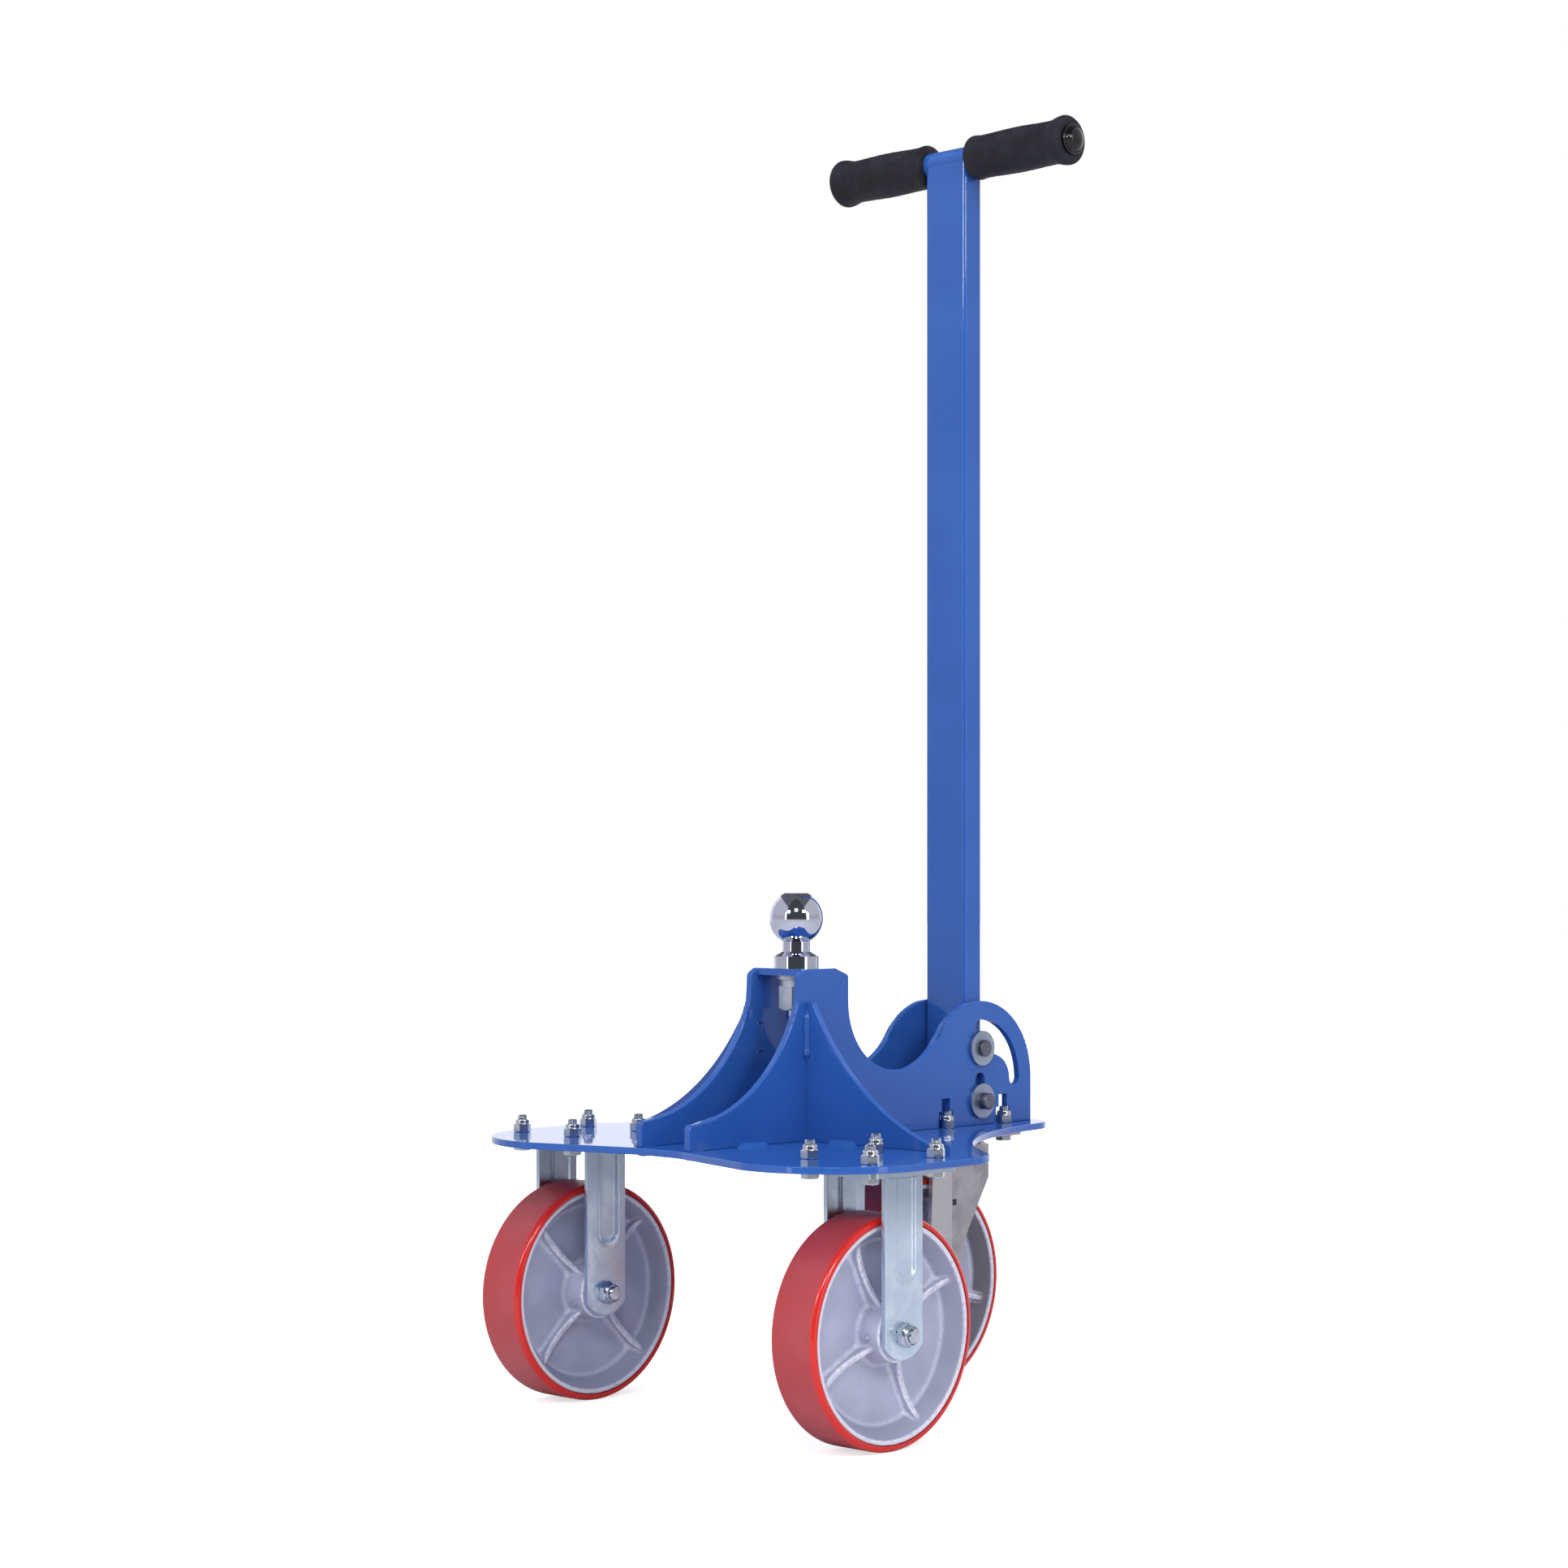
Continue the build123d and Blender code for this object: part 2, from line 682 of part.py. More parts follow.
thrust_ring = along_x(ring(thrust_washer_diameter, sleeve_radius + slide_gap, thrust_thickness))
thrust_places = [hub_half + slide_gap, -hub_half - slide_gap - thrust_thickness]
axle_hole = Pos(-leg_outer, 0, 0) * along_x(rod(axle_radius + bolt_hole_gap, 2 * leg_outer))


def add_wheel(prefix, x, y, rib_angle):
    """One wheel with its tread, bearing, grease fitting and axle set."""
    place = Pos(x, y, axle_z)
    turned = place * Rot(rib_angle, 0, 0)
    parts[prefix + "_wheel_core"] = turned * core_blank
    parts[prefix + "_wheel_tread"] = place * tread_blank
    parts[prefix + "_wheel_bearing"] = place * bearing_blank
    parts[prefix + "_grease_fitting"] = turned * Rot(fitting_angle, 0, 0) * fitting_blank
    parts[prefix + "_axle_bolt"] = place * axle_bolt_blank
    parts[prefix + "_axle_nut"] = place * axle_nut_blank
    parts[prefix + "_axle_sleeve"] = place * sleeve_blank
    washers = [place * Pos(spot, 0, 0) * thrust_ring for spot in thrust_places]
    parts[prefix + "_thrust_washers"] = Compound(children=washers)


add_wheel("front_left", half_track, front_axle_y, left_rib_angle)
add_wheel("front_right", -half_track, front_axle_y, right_rib_angle)
add_wheel("rear", 0, rear_axle_y, rear_rib_angle)


# Caster plates and rigid forks
def caster_plate():
    """Bolt-on top plate of a caster, centred on its bolt pattern."""
    outline = RectangleRounded(caster_plate_width, caster_plate_length, caster_plate_corner)
    hole = rod(bolt_hole_radius, caster_plate_thickness)
    return extrude(outline, caster_plate_thickness) - [Pos(x, y, 0) * hole for x, y in bolt_places((0, 0))]


def rigid_leg():
    """Outer fork leg with a groove pressed towards the wheel, standing under the caster plate."""
    low = axle_z - leg_below_axle
    half = leg_width / 2
    corner_z = low + leg_foot_radius - sqrt(leg_foot_radius**2 - half**2)
    front_corner = (-half, corner_z)
    rear_corner = (half, corner_z)
    edges = [
        ThreePointArc(front_corner, (0, low), rear_corner),
        Polyline(rear_corner, (half, caster_plate_bottom), (-half, caster_plate_bottom), front_corner),
    ]
    leg = extrude(Plane.YZ.offset(leg_inner) * make_face(edges), leg_thickness)
    groove_low = axle_z + groove_above_axle + groove_width / 2
    groove_line = Line((0, groove_low), (0, caster_plate_bottom + groove_width))
    groove_face = Plane.YZ.offset(leg_outer) * SlotArc(groove_line, groove_width)
    groove = extrude(groove_face, -groove_depth, taper=groove_taper)
    roof = Box(2 * leg_outer, leg_width, leg_width, align=base_align)
    groove -= Pos(leg_outer, 0, caster_plate_bottom) * roof
    return leg + Pos(-leg_thickness, 0, 0) * groove - groove


outer_leg = rigid_leg()
rigid_legs = [outer_leg, mirror(outer_leg, about=Plane.YZ)]
for prefix, place in (("front_left", caster_places[0]), ("front_right", caster_places[1])):
    spot = Pos(place[0], place[1], 0)
    parts[prefix + "_caster_plate"] = spot * Pos(0, 0, caster_plate_bottom) * caster_plate()
    legs = [spot * (leg - Pos(0, 0, axle_z) * axle_hole) for leg in rigid_legs]
    parts[prefix + "_fork_legs"] = Compound(children=legs)

# Swivel caster, made about the kingpin's axis
kingpin_axis = Pos(0, kingpin_y, 0)
kingpin_radius = kingpin_diameter / 2
race_z = (boss_bottom + fork_top) / 2
race_groove = Pos(0, 0, race_z) * Torus(race_radius, race_ball_diameter / 2 + race_groove_gap)
race_outer = race_radius + race_wall
fork_nut_top = fork_under - slide_gap


def swivel_plate():
    """Top plate of the swivel caster with the upper half of the ball race under it."""
    plate = Pos(0, 0, caster_plate_bottom) * caster_plate()
    plate += Pos(0, 0, boss_bottom) * rod(race_outer, race_boss_depth)
    plate -= race_groove
    plate -= Pos(0, 0, boss_bottom) * rod(kingpin_radius + seat_gap, deck_bottom - boss_bottom)
    head_z = deck_bottom - kingpin_head_height
    return plate - Pos(0, 0, head_z) * rod(kingpin_head_diameter / 2 + seat_gap, kingpin_head_height)


def kingpin():
    """Headed kingpin, flush with the top plate."""
    low = fork_nut_top - kingpin_nut_height - kingpin_end_length
    pin = Pos(0, 0, low) * rod(kingpin_radius, deck_bottom - low)
    head = rod(kingpin_head_diameter / 2, kingpin_head_height)
    return pin + Pos(0, 0, deck_bottom - kingpin_head_height) * head


def swivel_fork():
    """Fork of the swivel caster: top plate with the lower half of the race, and two tapering legs."""
    axle = (-wheel_lead, axle_z)
    shin = (axle[0] - fork_shin_from_axle, axle_z + fork_shin_height)
    calf = (axle[0] + fork_calf_from_axle, axle_z + fork_calf_height)
    outline = Polygon(
        (-fork_front_from_kingpin, fork_top),
        shin,
        tangent_point(shin, axle, fork_foot_radius, 1),
        axle,
        tangent_point(calf, axle, fork_foot_radius, -1),
        calf,
        (fork_rear_from_kingpin, axle_z + fork_heel_height),
        (fork_rear_from_kingpin, fork_top),
        align=None,
    )
    outline += Pos(*axle) * Circle(fork_foot_radius)
    hole_z = axle_z + fork_hole_height
    outline -= Pos(-fork_hole_from_kingpin, hole_z) * Rectangle(fork_hole_size, fork_hole_size)
    leg = extrude(Plane.YZ.offset(leg_inner) * outline, leg_thickness)
    top_length = fork_front_from_kingpin + fork_rear_from_kingpin
    top_middle = (fork_rear_from_kingpin - fork_front_from_kingpin) / 2
    top = Box(2 * leg_outer, top_length, fork_top_thickness, align=base_align)
    top = Pos(0, top_middle, fork_under) * top
    top += Pos(0, 0, fork_under) * rod(race_outer, fork_top_thickness)
    fork = top + leg + mirror(leg, about=Plane.YZ)
    fork -= race_groove
    fork -= Pos(0, 0, fork_under) * rod(kingpin_radius + running_gap, fork_top_thickness)
    return fork - Pos(0, -wheel_lead, axle_z) * axle_hole


kingpin_nut = hex_block(kingpin_nut_across, kingpin_nut_height)
kingpin_nut = Pos(0, 0, kingpin_nut_height) * Rot(180, 0, 0) * kingpin_nut
kingpin_nut -= rod(kingpin_radius + thread_gap, kingpin_nut_height)
race_turns = [Rot(0, 0, number * 360 / race_ball_count) for number in range(race_ball_count)]
race_ball = Pos(race_radius, 0, race_z) * Sphere(race_ball_diameter / 2)
parts["rear_caster_plate"] = kingpin_axis * swivel_plate()
parts["rear_swivel_fork"] = kingpin_axis * swivel_fork()
parts["rear_kingpin"] = kingpin_axis * kingpin()
parts["rear_kingpin_nut"] = kingpin_axis * Pos(0, 0, fork_nut_top - kingpin_nut_height) * kingpin_nut
parts["rear_swivel_balls"] = Compound(children=[kingpin_axis * turn * race_ball for turn in race_turns])

# Deck bolts, heads under the caster plates and lock nuts on the deck
deck_bolt = bolt(bolt_diameter, bolt_end_z - caster_plate_bottom, bolt_across, bolt_head_height)
deck_nut = lock_nut(bolt_across, deck_nut_hex_height, deck_nut_height, bolt_diameter / 2)
parts["deck_bolts"] = Compound(children=[Pos(x, y, caster_plate_bottom) * deck_bolt for x, y in all_bolts])
parts["deck_nuts"] = Compound(children=[Pos(x, y, deck_top) * deck_nut for x, y in all_bolts])

# Handle tube and cross bar
pin_radius = pin_diameter / 2
bar_radius = bar_diameter / 2


def handle_tube():
    """Rectangular tube with pin holes at its foot, coped at the top for the cross bar."""
    low = lower_pin_z - tube_below_pin
    high = bar_z - cope_trim
    inner_corner = max(tube_corner - tube_wall, tube_wall / 3)
    section = RectangleRounded(tube_width, tube_depth, tube_corner)
    section -= RectangleRounded(tube_width - 2 * tube_wall, tube_depth - 2 * tube_wall, inner_corner)
    tube = Pos(0, handle_y, low) * extrude(section, high - low)
    cope = along_x(rod(bar_radius + thread_gap, tube_width))
    tube -= Pos(-tube_width / 2, handle_y, bar_z) * cope
    for z in (lower_pin_z, upper_pin_z):
        tube -= Pos(-tube_width / 2, handle_y, z) * along_x(rod(pin_radius + running_gap, tube_width))
    return tube


bar_ring = ring(bar_diameter, bar_radius - bar_wall, 2 * bar_half_length)
parts["handle_tube"] = handle_tube()
parts["cross_bar"] = Pos(-bar_half_length, handle_y, bar_z) * along_x(bar_ring)


# Foam grips and their end caps
def grip():
    """Left foam grip: a barrel with a low flare at its inner end and a larger one at its outer end."""
    bore = bar_radius + seat_gap
    inner = grip_inner_flare_diameter / 2
    neck = grip_neck_diameter / 2
    body = grip_diameter / 2
    outer = grip_outer_flare_diameter / 2
    end = bar_half_length
    body_start = grip_start + grip_inner_flare_length
    body_end = end - grip_outer_flare_length
    body_middle = (body_start + body_end) / 2
    edges = [
        Line((grip_start + grip_end_radius, inner), (body_start, neck)),
        ThreePointArc((body_start, neck), (body_middle, body), (body_end, neck)),
        Line((body_end, neck), (end - grip_end_radius, outer)),
        RadiusArc((end - grip_end_radius, outer), (end, outer - grip_end_radius), grip_end_radius),
        Polyline(
            (end, outer - grip_end_radius),
            (end, bore),
            (grip_start, bore),
            (grip_start, inner - grip_end_radius),
        ),
        RadiusArc(
            (grip_start, inner - grip_end_radius),
            (grip_start + grip_end_radius, inner),
            grip_end_radius,
        ),
    ]
    return Pos(0, handle_y, bar_z) * revolve(make_face(edges), Axis.X)


def grip_cap():
    """Left end cap: a domed head on a stub that plugs the cross bar."""
    head = rod(cap_diameter / 2, cap_height)
    head = fillet(head.edges().sort_by(Axis.Z)[-1], cap_height - cap_rim)
    stub_radius = bar_radius - bar_wall - seat_gap
    stub = Cylinder(stub_radius, cap_stub_length, align=hung_align)
    return Pos(bar_half_length, handle_y, bar_z) * along_x(head + stub)


parts["grip_left"] = grip()
parts["grip_right"] = mirror(parts["grip_left"], about=Plane.YZ)
parts["grip_cap_left"] = grip_cap()
parts["grip_cap_right"] = mirror(parts["grip_cap_left"], about=Plane.YZ)

# Handle pins with washers and cotters
washer_inner_x = plate_outer + pin_washer_gap
washer_outer_x = washer_inner_x + pin_washer_thickness
cotter_x = washer_outer_x + slide_gap + cotter_diameter / 2
pin_end_x = cotter_x + pin_end_length


def add_pin(name, z, head_height):
    """One handle pin: head and washer on the left, washer and cotter on the right."""
    head_x = washer_outer_x + seat_gap
    place = Pos(0, handle_y, z)
    pin = Pos(-pin_end_x, 0, 0) * along_x(rod(pin_radius, pin_end_x + head_x))
    head = rod(pin_head_diameter / 2, head_height)
    head = chamfer(head.edges().sort_by(Axis.Z)[-1], bolt_tip_chamfer)
    groove_bore = pin_head_diameter / 2 - pin_groove_depth
    groove = ring(pin_head_diameter + 2 * pin_groove_depth, groove_bore, pin_groove_width)
    head -= Pos(0, 0, pin_groove_share * head_height) * groove
    pin += Pos(head_x, 0, 0) * along_x(head)
    pin -= Pos(-cotter_x, 0, 0) * Cylinder(cotter_diameter / 2 + seat_gap, pin_diameter)
    washer = along_x(ring(pin_washer_diameter, pin_radius + seat_gap, pin_washer_thickness))
    washers = [place * Pos(spot, 0, 0) * washer for spot in (washer_inner_x, -washer_outer_x)]
    cotter = Cylinder(cotter_diameter / 2, cotter_length)
    eye = along_x(Torus(cotter_eye_radius, cotter_diameter / 2))
    cotter += Pos(0, 0, cotter_length / 2 + cotter_eye_radius) * eye
    parts[name] = place * pin
    parts[name + "_washers"] = Compound(children=washers)
    parts[name + "_cotter"] = place * Pos(-cotter_x, 0, 0) * cotter


add_pin("upper_pin", upper_pin_z, upper_pin_head_height)
add_pin("lower_pin", lower_pin_z, lower_pin_head_height)

os.makedirs("parts", exist_ok=True)
for name, shape in parts.items():
    export_step(shape, f"parts/{name}.step")
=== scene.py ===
"""Looks of a three-wheeled hitch mover: paint, castings, welds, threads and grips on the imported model."""
import json
import math
import random
from contextlib import contextmanager

import bmesh
import bpy
import numpy as np
from bpy.props import FloatProperty, FloatVectorProperty, IntProperty, PointerProperty
from mathutils import Matrix, Vector, noise


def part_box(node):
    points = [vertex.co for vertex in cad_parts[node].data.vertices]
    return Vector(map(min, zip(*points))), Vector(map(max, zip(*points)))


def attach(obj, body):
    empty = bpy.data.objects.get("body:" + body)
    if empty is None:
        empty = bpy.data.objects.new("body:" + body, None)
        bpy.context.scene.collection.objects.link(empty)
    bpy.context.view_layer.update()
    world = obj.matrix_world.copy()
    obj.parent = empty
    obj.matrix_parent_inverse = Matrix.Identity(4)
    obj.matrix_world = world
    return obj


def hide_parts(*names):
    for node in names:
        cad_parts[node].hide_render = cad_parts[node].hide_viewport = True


bl_info = {
    "name": "Hitch Mover",
    "version": (1, 0, 0),
    "blender": (4, 5, 0),
    "location": "3D View > Sidebar > Hitch Mover",
    "description": "Finishes, castings, welds, threads and grips of a three-wheeled hitch mover",
    "category": "Object",
}

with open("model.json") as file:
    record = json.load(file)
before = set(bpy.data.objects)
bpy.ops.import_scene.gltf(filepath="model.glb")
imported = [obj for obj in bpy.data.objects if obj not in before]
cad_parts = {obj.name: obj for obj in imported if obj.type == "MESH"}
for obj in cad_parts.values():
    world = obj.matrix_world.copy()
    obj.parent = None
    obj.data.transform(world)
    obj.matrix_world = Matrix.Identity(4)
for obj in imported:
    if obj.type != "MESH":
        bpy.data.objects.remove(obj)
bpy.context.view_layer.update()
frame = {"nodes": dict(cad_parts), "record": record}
NODES = frame["nodes"]
BODY_OF = {node: body for body, members in frame["record"]["behaviour"]["bodies"].items() for node in members}
FRONT_CASTERS = ("front_left", "front_right")
CASTERS = (*FRONT_CASTERS, "rear")
JOIN_DISTANCE = 1e-6
QUARTER_TURN = math.radians(90)
WHITE = (1.0, 1.0, 1.0, 1.0)


# Settings that a user would change
def number(name, value, description, **kind):
    """A number, with its unit, limits or subtype where one fits."""
    return FloatProperty(name=name, description=description, default=value, **kind)


def length(name, millimetres, description):
    """A length given in millimetres and kept in metres."""
    return number(name, millimetres / 1000, description, unit="LENGTH", precision=5)


def share(name, value, description):
    """A number from 0 to 1."""
    return number(name, value, description, min=0.0, max=1.0, subtype="FACTOR")


def colour(name, red, green, blue, what):
    """A display colour given in 0 to 255 steps."""
    return FloatVectorProperty(
        name=name,
        description=f"Colour of {what}",
        size=3,
        min=0.0,
        max=1.0,
        subtype="COLOR_GAMMA",
        default=(red / 255, green / 255, blue / 255),
    )


class PaintSettings(bpy.types.PropertyGroup):
    """Blue powder coat of deck, plates and handle."""

    blue: colour("Blue", 47, 91, 169, "the powder coat")
    deep_blue: colour("Deep blue", 43, 87, 164, "the powder coat where it lies thicker")
    peel: length("Orange peel", 3.0, "Size of the waves in the coat's surface")
    gloss: share("Coat roughness", 0.05, "Roughness of the coat's clear top")
    edge: length("Edge", 0.7, "Rounding of the painted plates' edges")


class MetalSettings(bpy.types.PropertyGroup):
    """Plated, cast and bare metal."""

    leg: colour("Leg zinc", 226, 241, 255, "the front forks' plating")
    leg_dull: colour("Dull leg zinc", 210, 225, 245, "the front forks' plating where it is dull")
    zinc: colour("Bright zinc", 215, 220, 228, "bolts, nuts and washers")
    zinc_dull: colour("Dull zinc", 190, 197, 208, "bolts, nuts and washers where they are dull")
    steel: colour("Fork steel", 192, 189, 193, "the rear caster's plating")
    steel_dull: colour("Dull fork steel", 163, 158, 163, "the rear caster's plating where it is stained")
    washer: colour("Washer zinc", 176, 187, 207, "the pins' washers")
    washer_dull: colour("Dull washer zinc", 158, 169, 189, "the pins' washers where they are dull")
    pin: colour("Pin steel", 132, 131, 146, "the handle's pins")
    pin_dull: colour("Dull pin steel", 108, 107, 122, "the handle's pins where they are dull")
    chrome: colour("Chrome", 205, 208, 224, "the hitch ball")
    casting: colour("Casting", 171, 174, 200, "the wheel cores")
    casting_shade: colour("Casting shade", 160, 162, 187, "the wheel cores where the wash is thin")
    # Painted shade on the slope inside a front wheel's rim
    casting_wall: colour("Casting wall", 142, 144, 168, "the slope inside a front wheel's rim")
    # Deeper painted shade on the slope inside the rear wheel's rim, where the rear wheel lies in shadow
    rear_wall_shade: colour("Rear casting wall", 92, 88, 95, "the slope inside the rear wheel's rim")
    casting_rim: colour("Casting rim", 206, 207, 220, "the wheel cores' bare rims")
    # Painted highlight on the cores' crests and hollow corners, with some rubbed wear on the crests
    casting_crest: colour("Casting crest", 226, 226, 240, "the wheel cores' rubbed crests and corners")
    casting_gap: colour("Casting gap", 92, 84, 92, "the joint between a rim and its tread")
    voxel: length("Casting grid", 1.22, "Grid on which a wheel core's fillets are formed")
    smoothing: IntProperty(
        name="Casting fillets", description="Rounds of smoothing", default=9, min=0, max=40
    )


class LegSettings(bpy.types.PropertyGroup):
    """Pressed legs of the front forks and bent legs of the rear fork."""

    thickness: length("Thickness", 4.76, "Thickness of the leg's plate")
    groove: length("Groove", 26.0, "Width of the pressed groove between its crests")
    groove_back: length("Groove offset", 2.5, "Distance of the groove's middle line behind the leg's middle")
    depth: length("Groove depth", 2.0, "Depth of the pressed groove")
    flank: length("Groove flank", 4.5, "Width of the groove's sloping sides")
    groove_low: length("Groove end", 42.0, "Height of the groove's lower end above the axle")
    fade: length("Groove fade", 16.0, "Width of the slope at the groove's round lower end")
    foot: length("Foot radius", 29.0, "Radius of the leg's round foot")
    edge: length("Edge", 0.6, "Rounding of the leg's edges")
    crease: length("Crease", 40.0, "Distance of the rear fork's crease from its front")
    crease_slope: share("Crease slope", 0.09, "Slope of the rear fork's bent front strip")


class FastenerSettings(bpy.types.PropertyGroup):
    """Deck bolts and lock nuts."""

    bolt: length("Bolt", 9.53, "Diameter of the deck bolts")
    across: length("Hexagon", 14.3, "Width across the flats of the deck bolts' heads and nuts")
    pitch: length("Pitch", 1.3, "Pitch of the deck bolts' threads")
    axle_across: length("Axle hexagon", 19.05, "Width across the flats of the axle nuts")
    axle: length("Axle", 12.7, "Diameter of the axle bolts")
    collar: share("Collar", 0.95, "Width of a lock nut's collar against its hexagon")
    hexagon: share("Hexagon share", 0.675, "Height of a lock nut's hexagon against the nut")


class WeldSettings(bpy.types.PropertyGroup):
    """Weld beads."""

    bead: length("Bead radius", 3.6, "Radius of a weld bead")
    fillet: length("Fillet width", 4.5, "Width of the low fillets at the plates' feet")
    leg_bead: length("Leg bead radius", 2.6, "Radius of the beads at the tops of the front legs")
    ripple: length("Ripple", 3.4, "Distance between a bead's ripples")
    speck: length("Speck radius", 0.6, "Radius of a speck of spatter")
    seed: IntProperty(name="Seed", description="Seed of the welds' unevenness", default=7)


class GripSettings(bpy.types.PropertyGroup):
    """Foam grips and end caps."""

    foam: colour("Foam", 17, 17, 26, "the foam grips")
    foam_worn: colour("Worn foam", 29, 29, 40, "the foam grips where they are rubbed")
    cap: colour("Cap", 9, 9, 12, "the grips' end caps")
    neck: length("Neck", 41.0, "Diameter of a grip's narrow places")
    barrel: length("Barrel", 43.0, "Diameter of a grip's middle")
    inner_flare: length("Inner flare", 43.6, "Diameter of a grip's inner end")
    outer_flare: length("Outer flare", 46.6, "Diameter of a grip's outer end")
    inner_run: length("Inner flare length", 12.5, "Length of a grip's inner flare")
    outer_run: length("Outer flare length", 21.0, "Length of a grip's outer flare")
    end: length("End rounding", 5.0, "Rounding of a grip's ends")
    bar: length("Bar", 25.6, "Bore of a grip on the cross bar")
    cap_depth: length("Cap depth", 9.0, "Height of an end cap from its rim to its dome")


class TreadSettings(bpy.types.PropertyGroup):
    """Moulded treads."""

    shoulder: colour("Shoulder", 204, 40, 36, "the tread's clear shoulders")
    face: colour("Running face", 172, 50, 56, "the tread's scuffed running face")
    # Partly dust and partly painted sheen on the running face
    haze: colour("Haze", 182, 82, 92, "dust on the running face")


class StageSettings(bpy.types.PropertyGroup):
    """Camera, floor and light."""

    focal: number("Focal length", 73.21, "Focal length in millimetres", unit="CAMERA")
    heading: number("Heading", math.radians(44.29), "Turn of the level camera", subtype="ANGLE")
    rise: number("Vertical shift", 0.04284, "Shift of the picture upwards")
    place: FloatVectorProperty(
        name="Camera",
        description="Place of the camera",
        size=3,
        default=(2.0469, -2.16549, 0.51367),
        unit="LENGTH",
    )
    floor: colour("Floor", 236, 236, 238, "the floor")
    floor_mirrored: colour("Mirrored floor", 200, 200, 206, "the floor in mirrors")
    fill: number("Fill light", 0.68, "Strength of the light from all round")
    walls: share("Walls", 0.58, "Brightness of the room's side walls in mirrors")
    tall: number("Tall lights", 2.5, "Brightness of the two tall lights in mirrors")
    key: number("Key light", 21.5, "Power of each front lamp", unit="POWER")
    top: number("Top light", 45.0, "Power of the overhead lamp", unit="POWER")


def settings(group):
    """The scene's settings of a group."""
    return getattr(bpy.context.scene, f"hitch_{group}")


def linear(tone, factor=1.0):
    """A display colour, lightened or darkened by a factor, as the four linear values that a shader takes."""
    shades = [min(1.0, value * factor) for value in tone]
    return (*[v / 12.92 if v <= 0.04045 else ((v + 0.055) / 1.055) ** 2.4 for v in shades], 1.0)


# Node wiring
class Wiring:
    """A node tree being wired; a socket takes a plain value or another node's output."""

    def __init__(self, tree):
        self.tree = tree

    def put(self, socket, value):
        """Set a socket, or link an output to it."""
        if isinstance(value, bpy.types.NodeSocket):
            self.tree.links.new(value, socket)
        else:
            socket.default_value = value

    def fill(self, node, inputs):
        """Set a node's sockets by their names."""
        for key, value in inputs.items():
            self.put(node.inputs[key.replace("_", " ")], value)

    def add(self, kind, options=None, **inputs):
        """Add a node and set its options and sockets."""
        node = self.tree.nodes.new(kind)
        for key, value in (options or {}).items():
            setattr(node, key, value)
        self.fill(node, inputs)
        return node

    def reckon(self, operation, *values):
        """Arithmetic on one to three values."""
        node = self.add("ShaderNodeMath", {"operation": operation})
        for socket, value in zip(node.inputs, values):
            self.put(socket, value)
        return node.outputs[0]

    def spread(self, source, low, high, to_low=0.0, to_high=1.0):
        """Map a range of a value to another range, smoothly clamped."""
        ends = {"From_Min": low, "From_Max": high, "To_Min": to_low, "To_Max": to_high}
        node = self.add("ShaderNodeMapRange", {"interpolation_type": "SMOOTHSTEP"}, Value=source, **ends)
        return node.outputs["Result"]

    def rays(self):
        """Switches for rays from the camera and for rays from mirrors and glass."""
        path = self.add("ShaderNodeLightPath").outputs
        mirrored = self.reckon("MAXIMUM", path["Is Glossy Ray"], path["Is Transmission Ray"])
        return path["Is Camera Ray"], mirrored


class Finish(Wiring):
    """A material being wired on a piece's own coordinates, counted from a centre."""

    def __init__(self, name, centre=(0.0, 0.0, 0.0)):
        self.material = bpy.data.materials.new(name)
        self.material.use_nodes = True
        super().__init__(self.material.node_tree)
        self.shader = self.tree.nodes["Principled BSDF"]
        self.place = self.add("ShaderNodeTexCoord").outputs["Object"]
        if any(centre):
            self.place = self.mapped(Location=[-value for value in centre])

    def mapped(self, **inputs):
        """The piece's coordinates, moved or scaled."""
        return self.add("ShaderNodeMapping", Vector=self.place, **inputs).outputs["Vector"]

    def surface(self, **inputs):
        """Set the shader's sockets."""
        self.fill(self.shader, inputs)

    def noise(self, size, detail=2.0, distortion=0.0, stretch=None):
        """Soft noise whose waves are about a size in metres; a stretch draws it out along an axis."""
        place = self.mapped(Scale=stretch) if stretch else self.place
        node = self.add(
            "ShaderNodeTexNoise", Vector=place, Scale=1 / size, Detail=detail, Distortion=distortion
        )
        return node.outputs[0]

    def mix(self, factor, first, second):
        """Blend two colours; the node keeps its factor in socket 0 and its colours in sockets 6 and 7."""
        node = self.add("ShaderNodeMix", {"data_type": "RGBA"})
        for socket, value in zip((0, 6, 7), (factor, first, second)):
            self.put(node.inputs[socket], value)
        return node.outputs[2]

    def axis(self, index):
        """One coordinate of the piece, in metres."""
        return self.add("ShaderNodeSeparateXYZ", Vector=self.place).outputs[index]

    def length_of(self, vector):
        """Length of a vector, in metres."""
        return self.add("ShaderNodeVectorMath", {"operation": "LENGTH"}, Vector=vector).outputs["Value"]

    def axle_distance(self):
        """Distance from a wheel's axle, which runs along X."""
        parts = self.add("ShaderNodeSeparateXYZ", Vector=self.place).outputs
        return self.length_of(self.add("ShaderNodeCombineXYZ", Y=parts[1], Z=parts[2]).outputs["Vector"])

    def bump(self, height, distance, strength=1.0):
        """Normals of a surface that rises by a height times a distance in metres."""
        node = self.add("ShaderNodeBump", Height=height, Distance=distance, Strength=strength)
        return node.outputs["Normal"]


